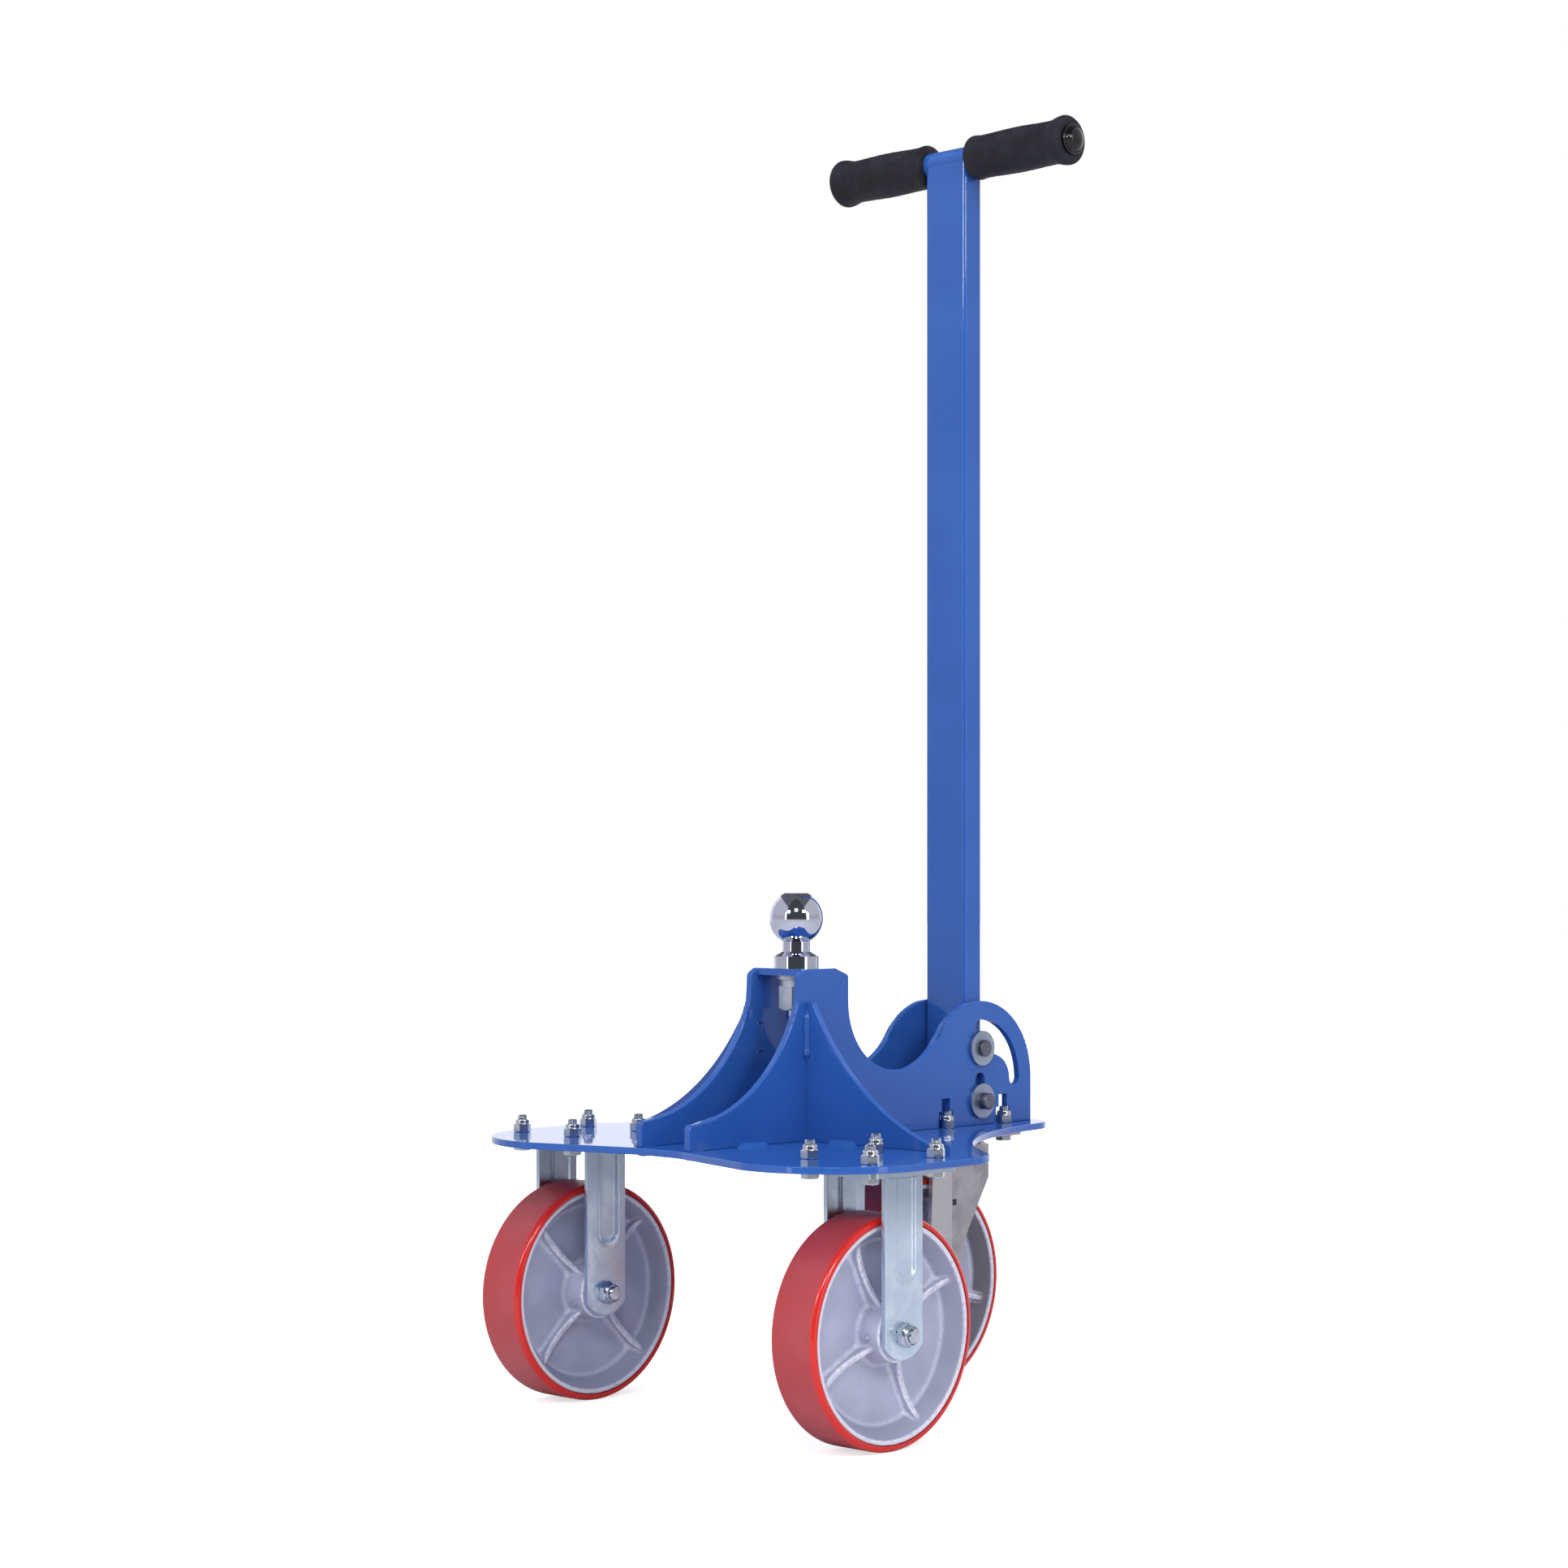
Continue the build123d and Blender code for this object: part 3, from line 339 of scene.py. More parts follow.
# Finishes
def paint_finish(name):
    """Powder coat: an even blue under a clear top with a fine orange peel."""
    paint = settings("paint")
    patch, haze = 0.09, 0.02
    coat_wave, top_wave = 0.00003, 0.000012
    finish = Finish(name)
    tone = finish.spread(finish.noise(patch, detail=3.0), 0.35, 0.7)
    peel = finish.noise(paint.peel, detail=1.0)
    finish.surface(
        Base_Color=finish.mix(tone, linear(paint.deep_blue), linear(paint.blue)),
        Roughness=finish.spread(finish.noise(haze, detail=3.0), 0.3, 0.7, 0.34, 0.44),
        Specular_IOR_Level=0.0,
        Coat_Weight=1.0,
        Coat_Roughness=paint.gloss,
        Normal=finish.bump(peel, coat_wave),
        Coat_Normal=finish.bump(peel, top_wave),
    )
    return finish.material


def plated_finish(name, metal, roughness, grain_axis=2, speck=0.0, shaded_from=None, lit_before=None):
    """One of the plated metals, with cloudy stains, fine lines along an axis and dark specks.

    Above a height the plating can be painted darker, a painted shade under the deck, and in front of a crease
    painted lighter, a painted highlight on the bent strip.
    """
    tone = getattr(settings("metal"), metal)
    dull = getattr(settings("metal"), f"{metal}_dull")
    stain, line, spot = 0.022, 0.0011, 0.0011
    line_stretch, line_depth = 0.06, 0.000012
    shade_run, crease_blur = 0.05, 0.0006
    finish = Finish(name)
    stretch = [1.0, 1.0, 1.0]
    stretch[grain_axis] = line_stretch
    clouds = finish.spread(finish.noise(stain, detail=4.0, distortion=0.6), 0.3, 0.72)
    lines = finish.noise(line, stretch=stretch)
    plating = finish.mix(clouds, linear(dull), linear(tone))
    if speck:
        spots = finish.spread(finish.noise(spot), 0.66, 0.73, 0.0, speck)
        plating = finish.mix(spots, plating, linear(dull, 0.7))
    # Painted shade: darker plating above a height, where the deck shades the legs
    if shaded_from:
        under_deck_shade = finish.spread(finish.axis(2), shaded_from, shaded_from + shade_run, 0.0, 0.75)
        plating = finish.mix(under_deck_shade, plating, linear(dull, 0.78))
    # Painted highlight: lighter plating on the bent strip in front of the crease
    if lit_before:
        ahead = finish.spread(finish.axis(1), lit_before - crease_blur, lit_before + crease_blur, 1.0, 0.0)
        plating = finish.mix(ahead, plating, linear(tone, 1.04))
    finish.surface(
        Base_Color=plating,
        Metallic=1.0,
        Roughness=finish.spread(clouds, 0.0, 1.0, roughness + 0.06, roughness - 0.04),
        Normal=finish.bump(lines, line_depth),
    )
    return finish.material


def chrome_finish(name):
    """Chrome plating with faint smears and a little waviness."""
    smear, wave, wave_depth = 0.015, 0.03, 0.00002
    finish = Finish(name)
    smears = finish.noise(smear, detail=4.0, distortion=0.5)
    finish.surface(
        Base_Color=linear(settings("metal").chrome),
        Metallic=1.0,
        Roughness=finish.spread(smears, 0.35, 0.75, 0.03, 0.07),
        Normal=finish.bump(finish.noise(wave, detail=1.0), wave_depth),
    )
    return finish.material


def casting_finish(name, centre, wall_shade):
    """Cast wheel core: grey wash, painted shade on the slope inside the rim, bare rim, and crests and hollow
    corners lightened by painted highlight with some rubbed wear.
    """
    metal = settings("metal")
    sand_size, grain_size, cloud_size, patch_size, rust_size = 0.0012, 0.0007, 0.03, 0.004, 0.012
    sand_depth = 0.00016
    wall_start, wall_end = (0.0805, 0.0825), (0.0905, 0.092)
    rim_start, rim_end = (0.0921, 0.0928), (0.0949, 0.0953)
    finish = Finish(name, centre)
    radius = finish.axle_distance()
    outside_hub = finish.spread(radius, *wall_start)
    inside_rim = finish.spread(radius, *wall_end, 0.85, 0.0)
    on_rim = finish.spread(radius, *rim_start)
    gap = finish.spread(radius, *rim_end)
    sand = finish.noise(sand_size, detail=3.0)
    grains = finish.spread(finish.noise(grain_size, detail=1.0), 0.62, 0.7, 0.0, 0.35)
    clouds = finish.spread(finish.noise(cloud_size, detail=4.0), 0.3, 0.7)
    patchy = finish.spread(finish.noise(patch_size, detail=3.0), 0.3, 0.55, 0.35, 1.0)
    rust = finish.spread(finish.noise(rust_size, detail=4.0), 0.68, 0.78, 0.0, 0.25)
    crest = finish.add("ShaderNodeAttribute", {"attribute_name": "crest"}).outputs["Fac"]
    wash = finish.mix(clouds, linear(metal.casting_shade), linear(metal.casting))
    for layer, tone in (
        # Pale grains of the cast surface take the same lighter colour
        (grains, linear(metal.casting_crest)),
        # Painted shade on the slope inside the rim
        (finish.reckon("MULTIPLY", outside_hub, inside_rim), linear(wall_shade)),
        (rust, linear(metal.casting_shade, 0.8)),
        # Painted highlight on crests and hollow corners, with some rubbed wear, in patches
        (finish.reckon("MULTIPLY", crest, patchy), linear(metal.casting_crest)),
        (finish.reckon("MULTIPLY", on_rim, patchy), linear(metal.casting_rim)),
        (gap, linear(metal.casting_gap)),
    ):
        wash = finish.mix(layer, wash, tone)
    finish.surface(
        Base_Color=wash,
        Roughness=finish.spread(sand, 0.3, 0.7, 0.34, 0.5),
        Normal=finish.bump(sand, sand_depth, strength=0.8),
    )
    return finish.material


def tread_finish(name, centre):
    """Cast polyurethane: running face paled by dust and a painted sheen, clearer shoulders."""
    rubber = settings("tread")
    face_inner, face_outer = 0.0205, 0.0228
    dust_size, speck_size, wave, wave_depth = 0.05, 0.004, 0.008, 0.0001
    finish = Finish(name, centre)
    face = finish.spread(finish.reckon("ABSOLUTE", finish.axis(0)), face_inner, face_outer, 1.0, 0.0)
    # Haze: dust and a painted sheen on the running face
    haze = finish.spread(finish.noise(dust_size, detail=3.0), 0.25, 0.75, 0.1, 0.5)
    specks = finish.spread(finish.noise(speck_size, detail=3.0), 0.66, 0.74)
    tone = finish.mix(face, linear(rubber.shoulder), linear(rubber.face))
    gloss = finish.spread(face, 0.0, 1.0, 0.14, 0.4)
    finish.surface(
        Base_Color=finish.mix(finish.reckon("MULTIPLY", face, haze), tone, linear(rubber.haze)),
        Roughness=finish.reckon("ADD", gloss, finish.reckon("MULTIPLY", specks, 0.08)),
        Subsurface_Weight=0.1,
        Subsurface_Radius=(0.004, 0.001, 0.0008),
        Subsurface_Scale=0.6,
        Normal=finish.bump(finish.noise(wave), wave_depth, strength=0.5),
    )
    return finish.material


def foam_finish(name):
    """Closed-cell foam: dull, fine-pored and a little rubbed."""
    grips = settings("grips")
    cell, grain_size, cloud_size, pore_depth = 0.0009, 0.0022, 0.02, 0.0002
    finish = Finish(name)
    cells = finish.add("ShaderNodeTexVoronoi", Vector=finish.place, Scale=1 / cell).outputs["Distance"]
    grain = finish.noise(grain_size, detail=4.0)
    clouds = finish.spread(finish.noise(cloud_size, detail=3.0), 0.3, 0.7)
    finish.surface(
        Base_Color=finish.mix(clouds, linear(grips.foam), linear(grips.foam_worn)),
        Roughness=finish.spread(grain, 0.3, 0.7, 0.6, 0.75),
        Specular_IOR_Level=0.35,
        Normal=finish.bump(finish.reckon("ADD", cells, grain), pore_depth, strength=0.6),
    )
    return finish.material


def cap_finish(name):
    """Shiny moulded plastic with a little waviness."""
    cloud_size, wave, wave_depth = 0.006, 0.004, 0.00004
    finish = Finish(name)
    finish.surface(
        Base_Color=linear(settings("grips").cap),
        Roughness=finish.spread(finish.noise(cloud_size, detail=3.0), 0.35, 0.7, 0.1, 0.2),
        Normal=finish.bump(finish.noise(wave), wave_depth),
    )
    return finish.material


def cover(mesh, material):
    """Make a material the only one on a mesh."""
    mesh.materials.clear()
    mesh.materials.append(material)


def dress(material, *names):
    """Give CAD nodes a material."""
    for name in names:
        cover(NODES[name].data, material)


# Pieces and meshes
def new_piece(name, mesh, material=None):
    """Link a mesh to the scene as a piece."""
    piece = bpy.data.objects.new(name, mesh)
    bpy.context.scene.collection.objects.link(piece)
    if material:
        cover(mesh, material)
    return piece


def settle(piece, body, slot, *replaced):
    """Let a piece ride on a body and hide the nodes that it stands for; the slot is not used."""
    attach(piece, body)
    if replaced:
        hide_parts(*replaced)
    return piece


def stand_in(piece, node, slot):
    """Let a piece take a node's place on the node's body."""
    return settle(piece, BODY_OF[node], slot, node)


def plain_mesh(name, shape):
    """Turn a bmesh into a mesh."""
    mesh = bpy.data.meshes.new(name)
    shape.to_mesh(mesh)
    shape.free()
    return mesh


def close_mesh(name, shape, place=None):
    """Turn a closed bmesh into a mesh in its place, with its faces pointing out."""
    if place:
        bmesh.ops.transform(shape, matrix=place, verts=shape.verts)
    bmesh.ops.recalc_face_normals(shape, faces=shape.faces)
    return plain_mesh(name, shape)


@contextmanager
def reshaping(mesh):
    """Open a mesh as a bmesh and write the changes back."""
    shape = bmesh.new()
    shape.from_mesh(mesh)
    yield shape
    shape.to_mesh(mesh)
    shape.free()


def joined_copy(node, name):
    """A copy of a CAD node's mesh with its loose triangles joined."""
    shape = bmesh.new()
    shape.from_mesh(NODES[node].data)
    bmesh.ops.remove_doubles(shape, verts=shape.verts, dist=JOIN_DISTANCE)
    mesh = plain_mesh(name, shape)
    if "custom_normal" in mesh.attributes:
        mesh.attributes.remove(mesh.attributes["custom_normal"])
    return mesh


def bake(piece):
    """Replace a piece's mesh with the one that its modifiers make, and drop the modifiers."""
    graph = bpy.context.evaluated_depsgraph_get()
    mesh = bpy.data.meshes.new_from_object(piece.evaluated_get(graph))
    raw = piece.data
    piece.modifiers.clear()
    piece.data = mesh
    bpy.data.meshes.remove(raw)
    mesh.name = piece.name
    return mesh


def smooth(mesh):
    """Smooth shading all over."""
    mesh.polygons.foreach_set("use_smooth", [True] * len(mesh.polygons))


def shade(mesh, degrees):
    """Smooth shading with edges kept sharp above an angle."""
    smooth(mesh)
    mesh.set_sharp_from_angle(angle=math.radians(degrees))


def round_edges(piece, width, degrees, clamp=True):
    """Round a piece's edges that are sharper than an angle."""
    edge = piece.modifiers.new("edge", "BEVEL")
    edge.width = width
    edge.segments = 2
    edge.limit_method = "ANGLE"
    edge.angle_limit = math.radians(degrees)
    edge.use_clamp_overlap = clamp


def band(shape, low, high):
    """Faces between two loops of points."""
    for step in range(len(low)):
        after = (step + 1) % len(low)
        shape.faces.new((low[step], low[after], high[after], high[step]))


def skin(shape, loops, closed=False):
    """Faces between neighbouring loops; a closed skin runs from the last loop back to the first."""
    for low, high in zip(loops, loops[1:]):
        band(shape, low, high)
    if closed:
        band(shape, loops[-1], loops[0])
    else:
        shape.faces.new(list(reversed(loops[0])))
        shape.faces.new(loops[-1])


def turned(name, rows, segments, place, bored=False):
    """Turn rows of (height, radius) about Z; a bored shape's rows go round its wall.

    A radius is a number or a function of angle and height.
    """
    shape = bmesh.new()
    loops = []
    for height, radius in rows:
        loop = []
        for step in range(segments):
            angle = math.tau * step / segments
            reach = radius(angle, height) if callable(radius) else radius
            loop.append(shape.verts.new((reach * math.cos(angle), reach * math.sin(angle), height)))
        loops.append(loop)
    skin(shape, loops, bored)
    return close_mesh(name, shape, place)


def along_x(start, node, degrees):
    """Place of a turned shape that starts at an x on a node's middle line and points along X."""
    centre = middle(node)
    turn = Matrix.Rotation(math.radians(degrees), 4, "Y")
    return Matrix.Translation((start, centre.y, centre.z)) @ turn


def chamfered(across, low, high):
    """Radius of a hexagon by angle and height, with its corners cut by a cone at both ends."""
    sixth = math.tau / 6
    end_share, corner_slope = 0.97, 1.7

    def radius(angle, height):
        flat = across / 2 / math.cos((angle % sixth) - sixth / 2)
        cone = across / 2 * end_share + corner_slope * max(0.0, min(height - low, high - height))
        return min(flat, cone)

    return radius


def thread(radius, pitch):
    """Radius of a screw thread by angle and height."""
    depth = 0.4 * pitch

    def reach(angle, height):
        turn = (height / pitch - angle / math.tau) % 1.0
        return radius - depth * abs(2 * turn - 1)

    return reach


def steps(low, high, size):
    """Evenly spaced heights from low to high, no further apart than a size."""
    count = max(1, math.ceil((high - low) / size))
    return [low + (high - low) * index / count for index in range(count + 1)]


def ease(share_along):
    """Smooth step from 0 to 1."""
    value = min(1.0, max(0.0, share_along))
    return value * value * (3 - 2 * value)


def lock_nut(name, across, bore, height, place):
    """Lock nut with chamfered flats and a round-edged collar, recessed round its bolt."""
    sizes = settings("fasteners")
    top_of_flats = height * sizes.hexagon
    flats = chamfered(across, 0.0, top_of_flats)
    collar = across / 2 * sizes.collar
    lip = bore * 1.2
    rounding, squareness, first_rise = 9, 0.4, 0.06
    rows = [(level, flats) for level in steps(0.0, top_of_flats, across / 36)]
    for step in range(rounding + 1):
        turn = QUARTER_TURN * step / rounding
        rise = (height - top_of_flats) * (first_rise + (1 - first_rise) * math.sin(turn))
        rows.append((top_of_flats + rise, lip + (collar - lip) * math.cos(turn) ** squareness))
    rows.append((height - bore * 0.2, bore * 1.08))
    rows.append((height - bore * 0.22, bore * 0.5))
    return turned(name, rows, segments=48, place=place)


def rounded_copy(node, width):
    """A copy of a flat-sided CAD node with its edges rounded off."""
    name = f"{node}_coated"
    mesh = joined_copy(node, name)
    with reshaping(mesh) as shape:
        flat = math.radians(1.0)
        bmesh.ops.dissolve_limit(shape, angle_limit=flat, verts=shape.verts, edges=shape.edges)
    smooth(mesh)
    piece = new_piece(name, mesh)
    round_edges(piece, width, 40.0, clamp=False)
    normals = piece.modifiers.new("normals", "WEIGHTED_NORMAL")
    normals.keep_sharp = True
    bake(piece)
    return piece


def middle(node):
    """Centre of a node's box."""
    low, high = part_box(node)
    return (low + high) / 2


def loose_parts(node):
    """Boxes of the separate solids in a node."""
    mesh = joined_copy(node, "loose_parts")
    boxes = []
    with reshaping(mesh) as shape:
        waiting = set(shape.verts)
        for start in shape.verts:
            if start not in waiting:
                continue
            front = {start}
            part = []
            while front:
                waiting -= front
                part.extend(front)
                beside = {edge.other_vert(point) for point in front for edge in point.link_edges}
                front = beside & waiting
            low = Vector([min(point.co[axis] for point in part) for axis in range(3)])
            high = Vector([max(point.co[axis] for point in part) for axis in range(3)])
            boxes.append((low, high))
    bpy.data.meshes.remove(mesh)
    return boxes


def points_mesh(name, points, runs=()):
    """A mesh of bare points, joined into runs of edges."""
    mesh = bpy.data.meshes.new(name)
    mesh.from_pydata(points, runs, [])
    return mesh


def paths_mesh(name, paths):
    """A mesh whose edges follow several paths."""
    points = []
    runs = []
    for path in paths:
        first = len(points)
        points.extend(path)
        runs.extend((first + step, first + step + 1) for step in range(len(path) - 1))
    return points_mesh(name, points, runs)


# Geometry node trees
class Growth(Wiring):
    """A geometry tree with named inputs, which ends in real meshes with their material."""

    def __init__(self, name, **sockets):
        super().__init__(bpy.data.node_groups.new(name, "GeometryNodeTree"))
        for label, kind in {"Geometry": "Geometry", **sockets, "Material": "Material"}.items():
            self.tree.interface.new_socket(label, in_out="INPUT", socket_type=f"NodeSocket{kind}")
        self.tree.interface.new_socket("Geometry", in_out="OUTPUT", socket_type="NodeSocketGeometry")
        self.given = self.add("NodeGroupInput").outputs
        self.result = self.add("NodeGroupOutput").inputs

    def end(self, source):
        """Realize what the tree made, give it its material and hand over the tree."""
        real = self.add("GeometryNodeRealizeInstances", Geometry=source)
        done = self.add("GeometryNodeSetMaterial", Geometry=real.outputs[0], Material=self.given["Material"])
        self.put(self.result["Geometry"], done.outputs[0])
        return self.tree


def fastener_tree():
    """One fastener at every point."""
    wire = Growth("fasteners", Shape="Object")
    shape = wire.add("GeometryNodeObjectInfo", Object=wire.given["Shape"]).outputs["Geometry"]
    placed = wire.add("GeometryNodeInstanceOnPoints", Points=wire.given["Geometry"], Instance=shape)
    return wire.end(placed.outputs[0])


def bead_tree():
    """A rippled bead of weld along every run of edges, thinning out at both ends."""
    spacing, lump_scale, ripple_share, taper_share, sides = 0.0005, 110.0, 0.03, 0.12, 14
    wire = Growth("weld_bead", Radius="Float", Ripple="Float", Seed="Int")
    path = wire.add("GeometryNodeMeshToCurve", Mesh=wire.given["Geometry"]).outputs[0]
    fine = wire.add("GeometryNodeResampleCurve", {"mode": "LENGTH"}, Curve=path, Length=spacing)
    along = wire.add("GeometryNodeSplineParameter").outputs
    turns = wire.reckon("DIVIDE", along["Length"], wire.given["Ripple"])
    wave = wire.reckon("SINE", wire.reckon("MULTIPLY", turns, math.tau))
    ripple = wire.reckon("MULTIPLY_ADD", wave, ripple_share, 1.0)
    swell = wire.add("ShaderNodeTexNoise", {"noise_dimensions": "4D"}, Scale=lump_scale, W=wire.given["Seed"])
    lump = wire.spread(swell.outputs[0], 0.3, 0.7, 0.88, 1.06)
    near_end = wire.reckon("MINIMUM", along["Factor"], wire.reckon("SUBTRACT", 1.0, along["Factor"]))
    taper = wire.spread(near_end, 0.0, taper_share, 0.25, 1.0)
    size = lump
    for factor in (ripple, taper, wire.given["Radius"]):
        size = wire.reckon("MULTIPLY", size, factor)
    ring = wire.add("GeometryNodeCurvePrimitiveCircle", Resolution=sides, Radius=1.0).outputs["Curve"]
    bead = wire.add(
        "GeometryNodeCurveToMesh", Curve=fine.outputs[0], Profile_Curve=ring, Scale=size, Fill_Caps=True
    )
    soft = wire.add("GeometryNodeSetShadeSmooth", Geometry=bead.outputs[0])
    return wire.end(soft.outputs[0])


def speck_tree():
    """A small drop of uneven size at every point.

    The random node keeps the limits of a plain number in inputs 2 and 3 and the number in output 1.
    """
    smallest, largest = 0.5, 1.2
    wire = Growth("weld_specks", Radius="Float", Seed="Int")
    drop = wire.add("GeometryNodeMeshIcoSphere", Radius=wire.given["Radius"], Subdivisions=2).outputs["Mesh"]
    size = wire.add("FunctionNodeRandomValue", {"data_type": "FLOAT"}, Seed=wire.given["Seed"])
    wire.put(size.inputs[2], smallest)
    wire.put(size.inputs[3], largest)
    placed = wire.add("GeometryNodeInstanceOnPoints", Points=wire.given["Geometry"], Instance=drop)
    wire.put(placed.inputs["Scale"], size.outputs[1])
    soft = wire.add("GeometryNodeSetShadeSmooth", Geometry=placed.outputs[0])
    return wire.end(soft.outputs[0])


def grow(piece, tree, **values):
    """Run a geometry tree with its named inputs set on a piece, and keep what it makes as the mesh."""
    modifier = piece.modifiers.new(tree.name, "NODES")
    modifier.node_group = tree
    for socket in tree.interface.items_tree:
        if socket.in_out == "INPUT" and socket.name in values:
            modifier[socket.identifier] = values[socket.name]
    return bake(piece)


# Operators, one for each group of pieces
class HITCH_OT_stage(bpy.types.Operator):
    """Set the camera, the pale floor, the white backdrop and the soft lamps"""

    bl_idname = "hitch.stage"
    bl_label = "Stage"

    def execute(self, context):
        stage = settings("stage")
        context.scene.view_settings.view_transform = "Standard"
        self.add_camera(context, stage)
        self.add_floor(stage)
        self.add_world(context, stage)
        key_places = {"left": (0.57, -3.1, 1.9), "front": (2.0, -2.1, 2.3), "right": (2.9, -0.6, 1.9)}
        for name, place in key_places.items():
            self.add_lamp(f"{name}_lamp", place, target=(0.0, -0.05, 0.35), size=0.6, power=stage.key)
        top = self.add_lamp("top_lamp", (0.2, 0.2, 3.0), target=(0.0, 0.0, 0.3), size=2.0, power=stage.top)
        top.visible_glossy = False
        return {"FINISHED"}

    def add_camera(self, context, stage):
        data = bpy.data.cameras.new("camera")
        data.sensor_width = 36.0
        data.lens = stage.focal
        data.shift_y = stage.rise
        camera = bpy.data.objects.new("camera", data)
        camera.location = stage.place
        camera.rotation_euler = (QUARTER_TURN, 0.0, stage.heading)
        context.scene.collection.objects.link(camera)
        context.scene.camera = camera

    def add_floor(self, stage):
        """Floor that fades to white for the camera and out of sight for mirrors."""
        half_side, fade_start, fade_end, near_glow = 15.0, 0.8, 2.4, 0.66
        shape = bmesh.new()
        bmesh.ops.create_grid(shape, x_segments=1, y_segments=1, size=half_side)
        finish = Finish("floor")
        seen, mirrored = finish.rays()
        far = finish.spread(finish.length_of(finish.place), fade_start, fade_end)
        glow = finish.spread(far, 0.0, 1.0, near_glow, 1.0)
        hidden = finish.reckon("MULTIPLY", mirrored, far)
        finish.surface(
            Base_Color=finish.mix(mirrored, linear(stage.floor), linear(stage.floor_mirrored)),
            Roughness=0.8,
            Emission_Color=WHITE,
            Emission_Strength=finish.reckon("MULTIPLY", seen, glow),
            Alpha=finish.reckon("SUBTRACT", 1.0, hidden),
        )
        new_piece("floor", plain_mesh("floor", shape), finish.material)

    def add_world(self, context, stage):
        """White backdrop for the camera, even light for the object and a studio room for mirrors."""
        world = bpy.data.worlds.new("studio")
        world.use_nodes = True
        context.scene.world = world
        world.node_tree.nodes.clear()
        wire = Wiring(world.node_tree)
        seen, mirrored = wire.rays()
        light = wire.add("ShaderNodeBackground", Color=(0.95, 0.96, 1.0, 1.0), Strength=stage.fill)
        room = wire.add("ShaderNodeBackground", Color=(0.96, 0.96, 1.0, 1.0), Strength=self.room(wire, stage))
        backdrop = wire.add("ShaderNodeBackground", Color=WHITE, Strength=1.0)
        shown = light
        for switch, other in ((mirrored, room), (seen, backdrop)):
            mixed = wire.add("ShaderNodeMixShader", Fac=switch)
            wire.put(mixed.inputs[1], shown.outputs[0])
            wire.put(mixed.inputs[2], other.outputs[0])
            shown = mixed
        wire.add("ShaderNodeOutputWorld", Surface=shown.outputs[0])

    def room(self, wire, stage):
        """Brightness of the room by heading.

        It has a white far end, pale walls and floor, a dark ceiling and a dark near end with two tall lights.
        The limits of each part are given as shares of a heading's length along an axis.
        """
        far_end, floor, upper_wall, ceiling, near_end = 1.3, 0.76, 0.68, 0.16, 0.08
        ceiling_slope, near_slope = 0.75, 0.9
        tall_lights = ((-0.97, 0.05), (1.2, 0.12))
        tall_blur = 0.03
        heading = wire.add("ShaderNodeTexCoord").outputs["Generated"]

        def towards(*axis):
            node = wire.add("ShaderNodeVectorMath", {"operation": "DOT_PRODUCT"})
            wire.put(node.inputs[0], heading)
            wire.put(node.inputs[1], axis)
            return node.outputs["Value"]

        def beyond(along, slope, across):
            return wire.reckon("SUBTRACT", wire.reckon("MULTIPLY", along, slope), across)

        right = towards(math.cos(stage.heading), math.sin(stage.heading), 0.0)
        near = towards(math.sin(stage.heading), -math.cos(stage.heading), 0.0)
        up = towards(0.0, 0.0, 1.0)
        aside = wire.reckon("ABSOLUTE", right)
        above_floor = wire.spread(up, -0.14, -0.08)
        level = wire.spread(near, -0.9, -0.3, far_end, stage.walls)
        level = wire.spread(up, -0.2, 0.0, floor, level)
        level = wire.reckon("MAXIMUM", level, wire.spread(up, 0.0, 0.2, 0.0, upper_wall))
        over = wire.spread(beyond(up, ceiling_slope, aside), -0.04, 0.04)
        over = wire.reckon("MULTIPLY", over, wire.spread(up, 0.25, 0.4))
        level = wire.spread(over, 0.0, 1.0, level, ceiling)
        between = wire.spread(beyond(near, near_slope, aside), -0.03, 0.03)
        between = wire.reckon("MULTIPLY", between, above_floor)
        level = wire.spread(between, 0.0, 1.0, level, near_end)
        reach = wire.reckon("MULTIPLY", above_floor, wire.spread(up, 0.3, 0.45, 1.0, 0.0))
        reach = wire.reckon("MULTIPLY", reach, wire.spread(near, 0.2, 0.3, 0.0, stage.tall))
        for slope, half_width in tall_lights:
            beside = wire.reckon("ABSOLUTE", beyond(near, slope, right))
            tall = wire.spread(beside, half_width, half_width + tall_blur, 1.0, 0.0)
            level = wire.reckon("ADD", level, wire.reckon("MULTIPLY", tall, reach))
        return level

    def add_lamp(self, name, place, target, size, power):
        data = bpy.data.lights.new(name, "AREA")
        data.shape = "SQUARE"
        data.size = size
        data.energy = power
        lamp = bpy.data.objects.new(name, data)
        lamp.location = place
        lamp.rotation_euler = (Vector(target) - Vector(place)).to_track_quat("-Z", "Y").to_euler()
        bpy.context.scene.collection.objects.link(lamp)
        return lamp


class HITCH_OT_painted_steel(bpy.types.Operator):
    """Powder-coat the deck, side plates, gussets, ball plate, handle tube and cross bar"""

    bl_idname = "hitch.painted_steel"
    bl_label = "Painted steel"

    def execute(self, context):
        coat = paint_finish("blue_powder_coat")
        for node in ("deck_plate", "side_plate_left", "side_plate_right", "gusset_left", "gusset_right"):
            piece = rounded_copy(node, settings("paint").edge)
            cover(piece.data, coat)
            stand_in(piece, node, "blue_paint")
        dress(coat, "ball_plate", "handle_tube", "cross_bar")
        return {"FINISHED"}


